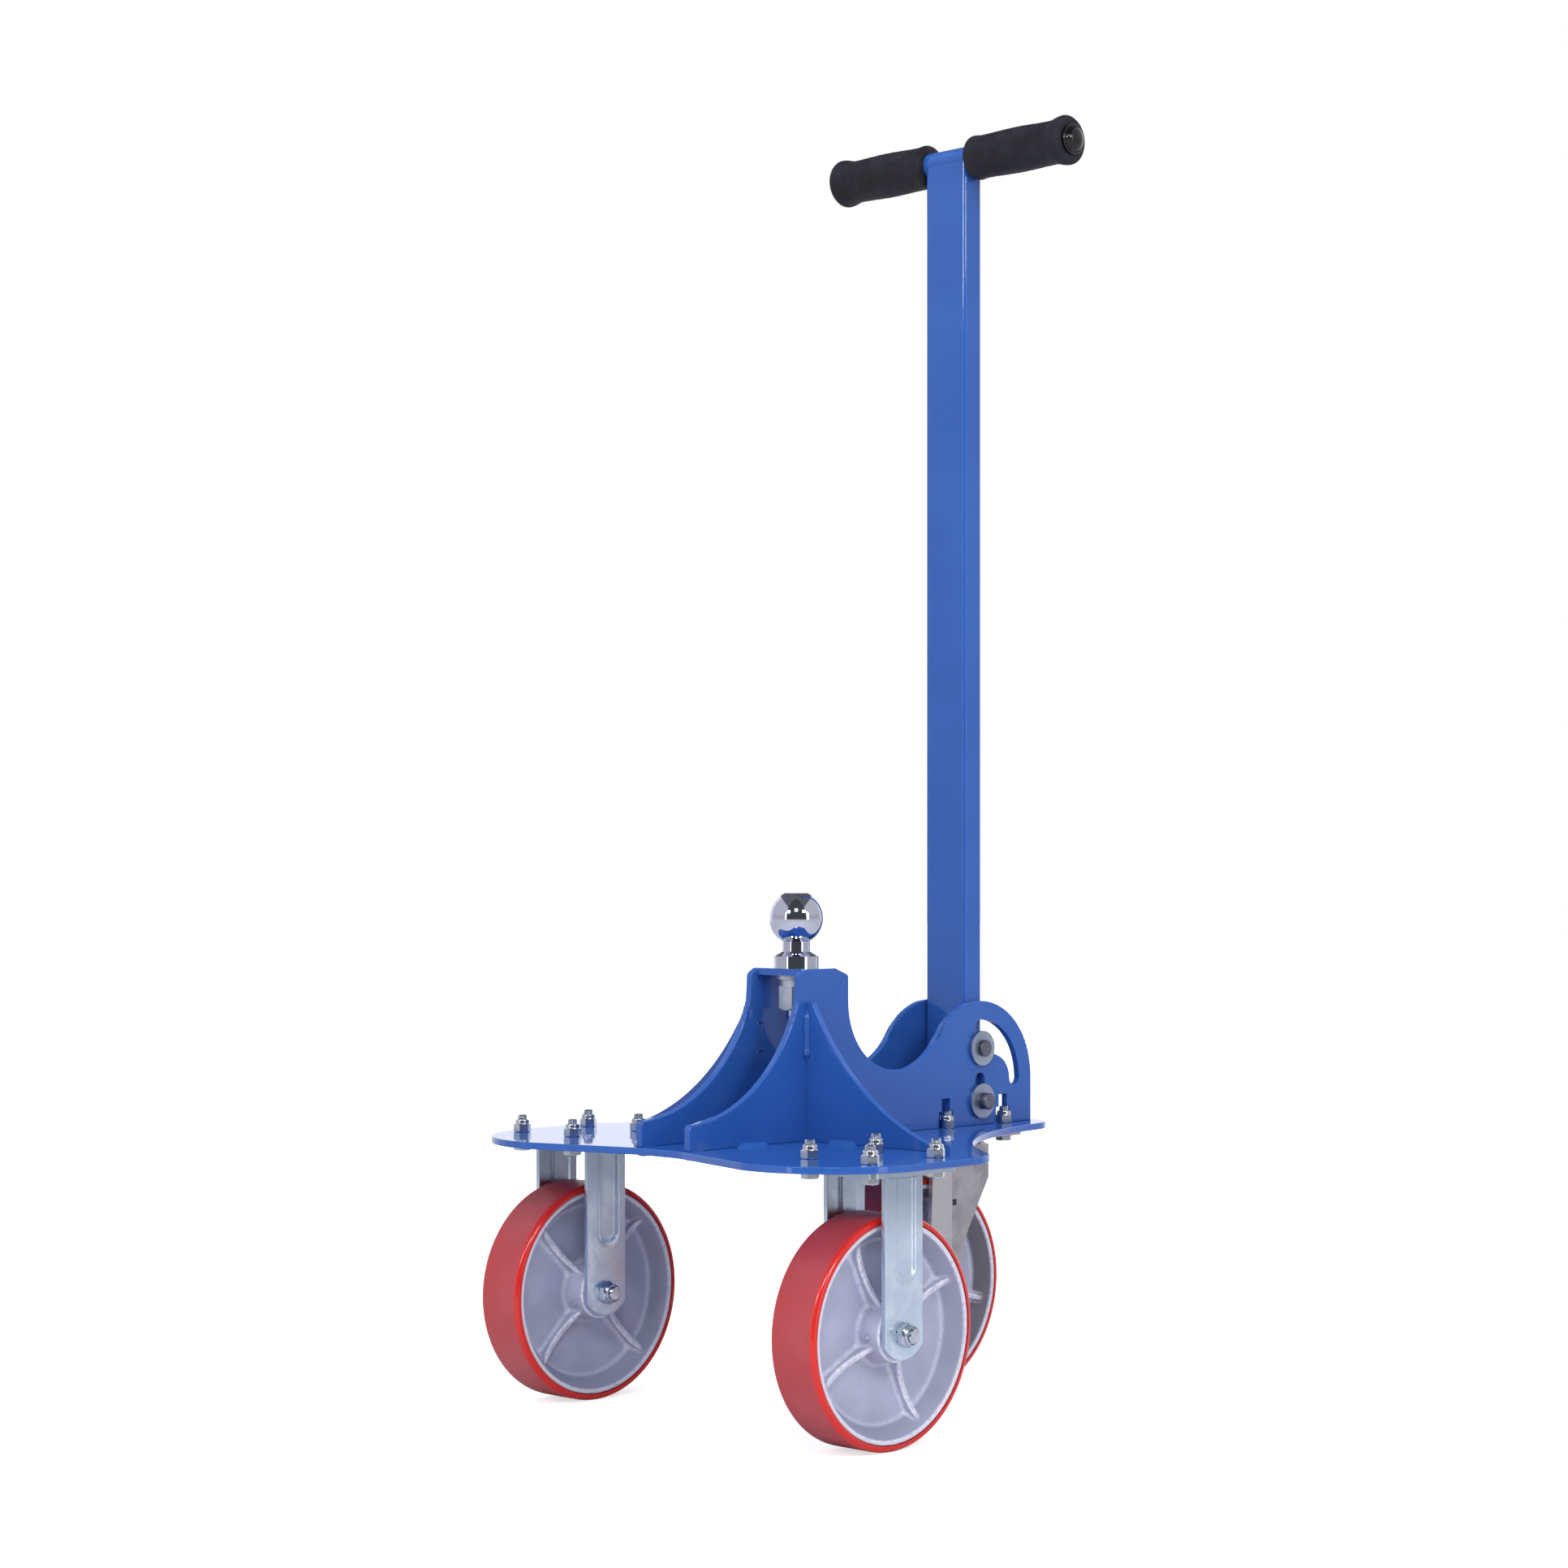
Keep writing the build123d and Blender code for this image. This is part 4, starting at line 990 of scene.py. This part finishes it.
class HITCH_OT_welds(bpy.types.Operator):
    """Run weld beads along the plates, the gussets and the fork legs, with specks of spatter"""

    bl_idname = "hitch.welds"
    bl_label = "Welds"

    def execute(self, context):
        weld = settings("weld")
        beads = bead_tree()
        coat = paint_finish("weld_coat")
        bare = plated_finish("leg_weld", "washer", roughness=0.45)
        self.run("tab_welds", self.tab_paths(), beads, weld.bead, coat, "blue_paint")
        self.foot_welds(coat)
        self.run("leg_welds", self.leg_paths(), beads, weld.leg_bead, bare, "zinc")
        specks = new_piece("weld_specks", points_mesh("weld_specks", self.speck_places()))
        grow(specks, speck_tree(), Radius=weld.speck, Seed=weld.seed, Material=coat)
        settle(specks, "chassis", "blue_paint")
        return {"FINISHED"}

    def run(self, name, paths, tree, radius, material, slot):
        """Lay beads of one radius along paths."""
        weld = settings("weld")
        piece = new_piece(name, paths_mesh(name, paths))
        grow(piece, tree, Radius=radius, Ripple=weld.ripple, Seed=weld.seed, Material=material)
        settle(piece, "chassis", slot)

    def corner(self):
        """Outer face of the left side plate, front face of the left gusset and top of the deck."""
        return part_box("side_plate_left")[1].x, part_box("gusset_left")[0].y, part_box("deck_plate")[1].z

    def tab_paths(self):
        """A run up each gusset's tab, in the corner with the side plate."""
        bead = settings("weld").bead
        tab_low, tab_high, spacing = 0.074, 0.119, 0.01
        wall, front, deck_top = self.corner()
        out = wall + bead * 0.4
        ahead = front - bead * 0.25
        levels = steps(deck_top + tab_low, deck_top + tab_high, spacing)
        return [[(side * out, ahead, level) for level in levels] for side in (1, -1)]

    def foot_welds(self, material):
        """Low fillets at the feet of the side plates and gussets."""
        wall, front, deck_top = self.corner()
        plate_ahead, plate_run = 0.090, 0.042
        gusset_out, gusset_run = 0.026, 0.038
        shape = bmesh.new()
        for side in (1, -1):
            plate_start = Vector((side * wall, front - plate_ahead, deck_top))
            gusset_start = Vector((side * (wall + gusset_out), front, deck_top))
            sideways = Vector((side, 0.0, 0.0))
            back = Vector((0.0, 1.0, 0.0))
            self.fillet(shape, plate_start, back, sideways, plate_run)
            self.fillet(shape, gusset_start, sideways, -back, gusset_run)
        mesh = close_mesh("foot_welds", shape)
        shade(mesh, 60.0)
        settle(new_piece("foot_welds", mesh, material), "chassis", "blue_paint")

    def fillet(self, shape, start, along, out, run):
        """A fillet along a corner, nearly flat across, swelling and thinning along its run."""
        width = settings("weld").fillet
        up = Vector((0.0, 0.0, 1.0))
        sunk, spacing, rounding = 0.0004, 0.0008, 8
        end_share, least_swell = 0.16, 0.02
        flatness, rise_share = 1.6, 0.85
        lump_scale, lump_share = 110, 0.16
        loops = []
        for step in steps(0.0, run, spacing):
            place = start + along * step - (out + up) * sunk
            swell = ease(min(step, run - step) / (run * end_share)) + least_swell
            swell *= width * (1 + lump_share * noise.noise(place * lump_scale))
            loop = [shape.verts.new(place - (out + up) * sunk)]
            for turn in range(rounding + 1):
                angle = QUARTER_TURN * turn / rounding
                across = out * math.cos(angle) ** flatness + up * math.sin(angle) ** flatness * rise_share
                loop.append(shape.verts.new(place + across * swell))
            loops.append(loop)
        skin(shape, loops)

    def leg_paths(self):
        """Runs across the tops of the front legs, outside and inside."""
        sunk = settings("weld").leg_bead * 0.3
        inner = settings("legs").thickness + sunk
        inset, spacing = 0.003, 0.006
        paths = []
        for prefix in FRONT_CASTERS:
            low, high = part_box(f"{prefix}_fork_legs")
            top = high.z - sunk
            for wall in (low.x - sunk, high.x + sunk, low.x + inner, high.x - inner):
                paths.append([(wall, along, top) for along in steps(low.y + inset, high.y - inset, spacing)])
        return paths

    def speck_places(self):
        """Specks scattered on the deck and the plates beside the welds."""
        chance = random.Random(settings("weld").seed).uniform
        wall, front, deck_top = self.corner()
        plate_specks, deck_specks, tab_specks = 16, 12, 5
        places = []
        for side in (1, -1):
            for _ in range(plate_specks):
                along = front + chance(-0.11, -0.004)
                places.append((side * wall, along, deck_top + chance(0.002, 0.016)))
            for _ in range(deck_specks):
                across = wall + chance(0.004, 0.08)
                places.append((side * across, front - chance(0.006, 0.02), deck_top))
            for _ in range(tab_specks):
                level = deck_top + chance(0.066, 0.13)
                places.append((side * wall, front - chance(0.004, 0.012), level))
        return places


class HITCH_OT_front_legs(bpy.types.Operator):
    """Press the front forks' legs with their grooves and round feet"""

    bl_idname = "hitch.front_legs"
    bl_label = "Front legs"

    def execute(self, context):
        axle_z = middle("front_left_wheel_core").z
        # Painted shade under the deck starts above this height
        shaded_from = axle_z + 0.075
        plating = plated_finish("leg_zinc", "leg", roughness=0.3, speck=0.35, shaded_from=shaded_from)
        for prefix in FRONT_CASTERS:
            dress(plating, f"{prefix}_caster_plate")
            node = f"{prefix}_fork_legs"
            name = f"{prefix}_pressed_legs"
            piece = new_piece(name, self.press(name, node, axle_z), plating)
            round_edges(piece, settings("legs").edge, 45.0)
            shade(bake(piece), 50.0)
            stand_in(piece, node, "zinc")
        return {"FINISHED"}

    def press(self, name, node, axle_z):
        """Two mirrored legs, each a plate whose two faces follow the groove."""
        legs = settings("legs")
        column_spacing, level_spacing = 0.001, 0.016
        low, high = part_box(node)
        centre = (low + high) / 2
        half = (high.y - low.y) / 2
        foot = low.z + legs.foot
        groove_foot = axle_z + legs.groove_low + legs.groove / 2
        shape = bmesh.new()
        for side, outer in ((1, high.x), (-1, low.x)):
            front, back = [], []
            for across in steps(-half, half, column_spacing):
                bottom = foot - math.sqrt(legs.foot**2 - across**2)
                front.append([])
                back.append([])
                for level in steps(0.0, 1.0, level_spacing):
                    z = bottom + (high.z - bottom) * level
                    depth = legs.depth * self.groove(across - legs.groove_back, max(0.0, groove_foot - z))
                    for column, inward in ((front[-1], depth), (back[-1], depth + legs.thickness)):
                        column.append(shape.verts.new((outer - side * inward, centre.y + across, z)))
            self.close(shape, front, back)
        return close_mesh(name, shape)

    def groove(self, across, below):
        """Depth of the groove from 0 to 1, beside its middle line and below the start of its round end."""
        legs = settings("legs")
        slope = legs.flank + (legs.fade - legs.flank) * ease(2 * below / legs.groove)
        return ease((legs.groove / 2 - math.hypot(across, below)) / slope)

    def close(self, shape, front, back):
        """Faces on both sides of a plate and round its edge."""
        for sheet in (front, back):
            for near, far in zip(sheet, sheet[1:]):
                for step in range(len(near) - 1):
                    shape.faces.new((near[step], far[step], far[step + 1], near[step + 1]))
        band(shape, self.rim(front), self.rim(back))

    def rim(self, columns):
        """Points round the edge of a sheet of columns."""
        lower = [column[0] for column in columns]
        upper = [column[-1] for column in columns]
        return lower + columns[-1][1:-1] + list(reversed(upper)) + list(reversed(columns[0][1:-1]))


class HITCH_OT_hardware(bpy.types.Operator):
    """Set the bolts and lock nuts, bend the rear fork, plate the other fasteners and chrome the ball"""

    bl_idname = "hitch.hardware"
    bl_label = "Hardware"

    def execute(self, context):
        bright = plated_finish("bright_zinc", "zinc", roughness=0.2)
        soft = plated_finish("ball_hardware", "zinc", roughness=0.5)
        dull = plated_finish("fork_plating", "steel", roughness=0.3, speck=0.5)
        pins = plated_finish("pin_steel", "pin", roughness=0.45, grain_axis=0)
        washers = plated_finish("washer_zinc", "washer", roughness=0.42)
        dress(chrome_finish("ball_chrome"), "hitch_ball")
        dress(soft, "ball_flat_washer", "ball_lock_washer", "ball_nut")
        dress(dull, "rear_caster_plate", "rear_kingpin", "rear_kingpin_nut", "rear_swivel_balls")
        for prefix in CASTERS:
            dress(bright, *[f"{prefix}_{part}" for part in ("axle_bolt", "axle_sleeve", "thrust_washers")])
            dress(pins, f"{prefix}_wheel_bearing")
        for pin in ("upper_pin", "lower_pin"):
            dress(pins, pin, f"{pin}_cotter")
            dress(washers, f"{pin}_washers")
        self.bent_fork()
        self.deck_fasteners(bright)
        self.axle_nuts(bright)
        return {"FINISHED"}

    def bent_fork(self):
        """Rear fork whose legs are bent inwards in front of a crease; the bend fades out above the axle."""
        legs = settings("legs")
        node = "rear_swivel_fork"
        name = "rear_bent_fork"
        fade_low, fade_step, fade_cuts = 0.018, 0.006, 6
        crease_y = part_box(node)[0].y + legs.crease
        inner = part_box("rear_axle_sleeve")[1].x - JOIN_DISTANCE
        axle_z = middle("rear_wheel_core").z
        fade = [axle_z + fade_low + fade_step * step for step in range(fade_cuts)]
        cuts = [((0.0, crease_y, 0.0), (0.0, 1.0, 0.0))]
        cuts += [((0.0, 0.0, level), (0.0, 0.0, 1.0)) for level in fade]
        mesh = joined_copy(node, name)
        with reshaping(mesh) as shape:
            for place, normal in cuts:
                parts = shape.verts[:] + shape.edges[:] + shape.faces[:]
                bmesh.ops.bisect_plane(shape, geom=parts, plane_co=place, plane_no=normal, dist=JOIN_DISTANCE)
            for point in shape.verts:
                ahead = crease_y - point.co.y
                if ahead > 0 and abs(point.co.x) > inner:
                    share_up = ease((point.co.z - fade[0]) / (fade[-1] - fade[0]))
                    point.co.x -= math.copysign(legs.crease_slope * ahead * share_up, point.co.x)
        shade(mesh, 4.0)
        # The strip in front of the crease gets a painted highlight
        plating = plated_finish("bent_fork", "steel", roughness=0.3, speck=0.5, lit_before=crease_y)
        stand_in(new_piece(name, mesh, plating), node, "grey_steel")

    def deck_fasteners(self, material):
        """Bolts and nuts of the deck, one pattern of each at all their places."""
        sizes = settings("fasteners")
        tree = fastener_tree()
        bolts = loose_parts("deck_bolts")
        nuts = loose_parts("deck_nuts")
        nut_low, nut_top = nuts[0][0].z, nuts[0][1].z
        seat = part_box("front_left_caster_plate")[0].z
        bolt = self.bolt(bolts[0][0].z - seat, nut_top - seat, bolts[0][1].z - seat)
        nut = lock_nut("nut_shape", sizes.across, sizes.bolt / 2, nut_top - nut_low, Matrix())
        patterns = (("deck_bolts", bolt, bolts, seat), ("deck_nuts", nut, nuts, nut_low))
        for node, shape, boxes, level in patterns:
            shade(shape, 35.0)
            pattern = new_piece(f"{node}_pattern", shape)
            places = [((low.x + high.x) / 2, (low.y + high.y) / 2, level) for low, high in boxes]
            piece = new_piece(f"{node}_threaded", points_mesh(node, places))
            grow(piece, tree, Shape=pattern, Material=material)
            bpy.data.objects.remove(pattern)
            stand_in(piece, node, "zinc")

    def bolt(self, head_low, nut_top, end):
        """Hexagon bolt standing on its seat at zero, threaded where it leaves the nut."""
        sizes = settings("fasteners")
        radius = sizes.bolt / 2
        head = chamfered(sizes.across, head_low, -head_low)
        cut = thread(radius, sizes.pitch)
        plain_end, thread_start, thread_end = nut_top - 0.003, nut_top - 0.0025, end - sizes.pitch * 0.6
        rows = [(level, head) for level in steps(head_low, 0.0, sizes.across / 30)]
        rows += [(0.0, radius), (plain_end, radius)]
        rows += [(level, cut) for level in steps(thread_start, thread_end, sizes.pitch / 8)]
        rows.append((end, radius * 0.8))
        return turned("bolt_shape", rows, segments=48, place=Matrix())

    def axle_nuts(self, material):
        sizes = settings("fasteners")
        for prefix in CASTERS:
            node = f"{prefix}_axle_nut"
            name = f"{prefix}_lock_nut"
            low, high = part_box(node)
            place = along_x(low.x, node, 90.0)
            mesh = lock_nut(name, sizes.axle_across, sizes.axle / 2, high.x - low.x, place)
            shade(mesh, 35.0)
            stand_in(new_piece(name, mesh, material), node, "zinc")


class HITCH_OT_wheels(bpy.types.Operator):
    """Give the wheel cores their cast fillets and lighter crests, painted highlight with some rubbed wear,
    and colour the treads
    """

    bl_idname = "hitch.wheels"
    bl_label = "Wheels"

    def execute(self, context):
        metal = settings("metal")
        for prefix in CASTERS:
            node = f"{prefix}_wheel_core"
            name = f"{prefix}_cast_core"
            tread = f"{prefix}_wheel_tread"
            # Painted shade inside the rim, deeper for the rear wheel
            wall = metal.rear_wall_shade if prefix == "rear" else metal.casting_wall
            casting = casting_finish(f"{prefix}_casting", middle(node), wall)
            core = new_piece(name, joined_copy(node, name))
            remesh = core.modifiers.new("skin", "REMESH")
            remesh.mode = "VOXEL"
            remesh.voxel_size = metal.voxel
            remesh.use_smooth_shade = True
            self.cast(bake(core))
            cover(core.data, casting)
            stand_in(core, node, "cast_core")
            dress(casting, f"{prefix}_grease_fitting")
            dress(tread_finish(f"{prefix}_tread", middle(tread)), tread)
        return {"FINISHED"}

    def cast(self, mesh):
        """Fill the hollow corners with fillets, keep the crests crisp, and mark crests and hollow corners for
        a painted highlight with some rubbed wear.
        """
        metal = settings("metal")
        hollow_bend, hollow_rounds = 0.12, 4
        flat_pull, hollow_pull, pull = 0.12, 0.8, 0.6
        crest_bend, corner_bend, mark_rounds = 0.1, 0.07, 2

        def read(items, key, width, kind=float):
            values = np.empty(len(items) * width, dtype=kind)
            items.foreach_get(key, values)
            return values.reshape(-1, width)

        places = read(mesh.vertices, "co", 3)
        normals = read(mesh.vertices, "normal", 3)
        ends = read(mesh.edges, "vertices", 2, int)
        first, second = ends.T
        degree = np.bincount(ends.ravel(), minlength=len(places))[:, None]

        def spread_out(values):
            total = np.zeros_like(values)
            np.add.at(total, first, values[second])
            np.add.at(total, second, values[first])
            return total / degree

        def bend_of(points):
            return ((spread_out(points) - points) * normals).sum(1, keepdims=True) / metal.voxel

        hollow = np.clip(bend_of(places) / hollow_bend, 0.0, 1.0)
        for _ in range(hollow_rounds):
            hollow = np.maximum(hollow, spread_out(hollow))
        soft = places
        for _ in range(metal.smoothing):
            soft = soft + (spread_out(soft) - soft) * (flat_pull + hollow_pull * hollow) * pull
        bend = bend_of(soft)
        for _ in range(mark_rounds):
            bend = (bend + spread_out(bend)) / 2
        # Lighter tone on crests and hollow corners: painted highlight, with rubbed wear on the crests
        wear_and_highlight = np.clip(-bend / crest_bend, 0.0, 1.0) + np.clip(bend / corner_bend - 0.3, 0.0, 0.7)
        mesh.vertices.foreach_set("co", soft.ravel())
        marks = mesh.attributes.new("crest", "FLOAT", "POINT")
        marks.data.foreach_set("value", np.clip(wear_and_highlight, 0.0, 1.0).ravel())
        mesh.update()


class HITCH_OT_grips(bpy.types.Operator):
    """Model the foam grips and their end caps"""

    bl_idname = "hitch.grips"
    bl_label = "Grips"

    def execute(self, context):
        foam = foam_finish("grip_foam")
        plastic = cap_finish("cap_plastic")
        for side, way in (("left", 1), ("right", -1)):
            node = f"grip_{side}"
            low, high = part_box(node)
            place = along_x(low.x if side == "left" else high.x, node, way * 90.0)
            rows = self.grip_rows(high.x - low.x)
            mesh = turned(f"foam_{node}", rows, segments=72, place=place, bored=True)
            shade(mesh, 60.0)
            grip = stand_in(new_piece(f"foam_{node}", mesh, foam), node, "foam")
            self.add_cap(side, way, plastic)
        return {"FINISHED"}

    def grip_rows(self, run):
        """Rows of (distance, radius) along a grip's outside and back through its bore."""
        grips = settings("grips")
        spacing = 0.0012
        outer_neck = run - grips.outer_run
        keys = [
            (0.0, grips.inner_flare),
            (grips.inner_run, grips.neck),
            ((grips.inner_run + outer_neck) / 2, grips.barrel),
            (outer_neck, grips.neck),
            (run - grips.end, grips.outer_flare),
            (run, grips.outer_flare),
        ]
        rows = []
        for level in steps(0.0, run, spacing):
            before, after = next(pair for pair in zip(keys, keys[1:]) if level <= pair[1][0] + JOIN_DISTANCE)
            share_along = ease((level - before[0]) / (after[0] - before[0]))
            radius = (before[1] + (after[1] - before[1]) * share_along) / 2
            to_end = min(level, run - level)
            if to_end < grips.end:
                radius -= grips.end - math.sqrt(grips.end**2 - (grips.end - to_end) ** 2)
            rows.append((level, self.uneven(radius)))
        rows.extend((level, grips.bar / 2) for level in (run, run / 2, 0.0))
        return rows

    def uneven(self, radius):
        """A radius with the slight unevenness of cut foam."""
        round_scale, run_scale, unevenness = 3.0, 150, 0.00015

        def reach(angle, height):
            place = Vector((math.cos(angle) * round_scale, math.sin(angle) * round_scale, height * run_scale))
            return radius + unevenness * noise.noise(place)

        return reach

    def add_cap(self, side, way, material):
        """End cap: a rounded rim, a shallow ring and a low dome.

        Its profile gives shares of the depth and of the rim's radius.
        """
        node = f"grip_cap_{side}"
        name = f"{node}_moulded"
        depth = settings("grips").cap_depth
        low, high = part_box(node)
        rim = (high.z - low.z) / 2
        tip = high.x if side == "left" else low.x
        profile = (
            (0.0, 0.97), (0.03, 1.0), (0.26, 1.0), (0.33, 0.985), (0.37, 0.95), (0.38, 0.9), (0.35, 0.845),
            (0.34, 0.82), (0.37, 0.8), (0.5, 0.775), (0.62, 0.74), (0.74, 0.67), (0.85, 0.55), (0.93, 0.4),
            (0.98, 0.22), (1.0, 0.04),
        )
        rows = [(depth * along, rim * across) for along, across in profile]
        mesh = turned(name, rows, segments=64, place=along_x(tip - way * depth, node, way * 90.0))
        shade(mesh, 60.0)
        stand_in(new_piece(name, mesh, material), node, "black_plastic")


OPERATORS = (
    HITCH_OT_stage,
    HITCH_OT_painted_steel,
    HITCH_OT_welds,
    HITCH_OT_front_legs,
    HITCH_OT_hardware,
    HITCH_OT_wheels,
    HITCH_OT_grips,
)


class HITCH_PT_looks(bpy.types.Panel):
    """The hitch mover's groups of pieces"""

    bl_idname = "HITCH_PT_looks"
    bl_label = "Hitch Mover"
    bl_space_type = "VIEW_3D"
    bl_region_type = "UI"
    bl_category = "Hitch Mover"

    def draw(self, context):
        for operator in OPERATORS:
            self.layout.operator(operator.bl_idname)


SETTINGS = {
    "hitch_paint": PaintSettings,
    "hitch_metal": MetalSettings,
    "hitch_legs": LegSettings,
    "hitch_fasteners": FastenerSettings,
    "hitch_weld": WeldSettings,
    "hitch_tread": TreadSettings,
    "hitch_grips": GripSettings,
    "hitch_stage": StageSettings,
}


def register():
    for group in SETTINGS.values():
        bpy.utils.register_class(group)
    for name, group in SETTINGS.items():
        setattr(bpy.types.Scene, name, PointerProperty(type=group))
    for operator in OPERATORS:
        bpy.utils.register_class(operator)
    bpy.utils.register_class(HITCH_PT_looks)


def unregister():
    bpy.utils.unregister_class(HITCH_PT_looks)
    for operator in reversed(OPERATORS):
        bpy.utils.unregister_class(operator)
    for name, group in SETTINGS.items():
        delattr(bpy.types.Scene, name)
        bpy.utils.unregister_class(group)


def main():
    register()
    for operator in OPERATORS:
        group, name = operator.bl_idname.split(".")
        getattr(getattr(bpy.ops, group), name)()


if __name__ == "__main__":
    main()
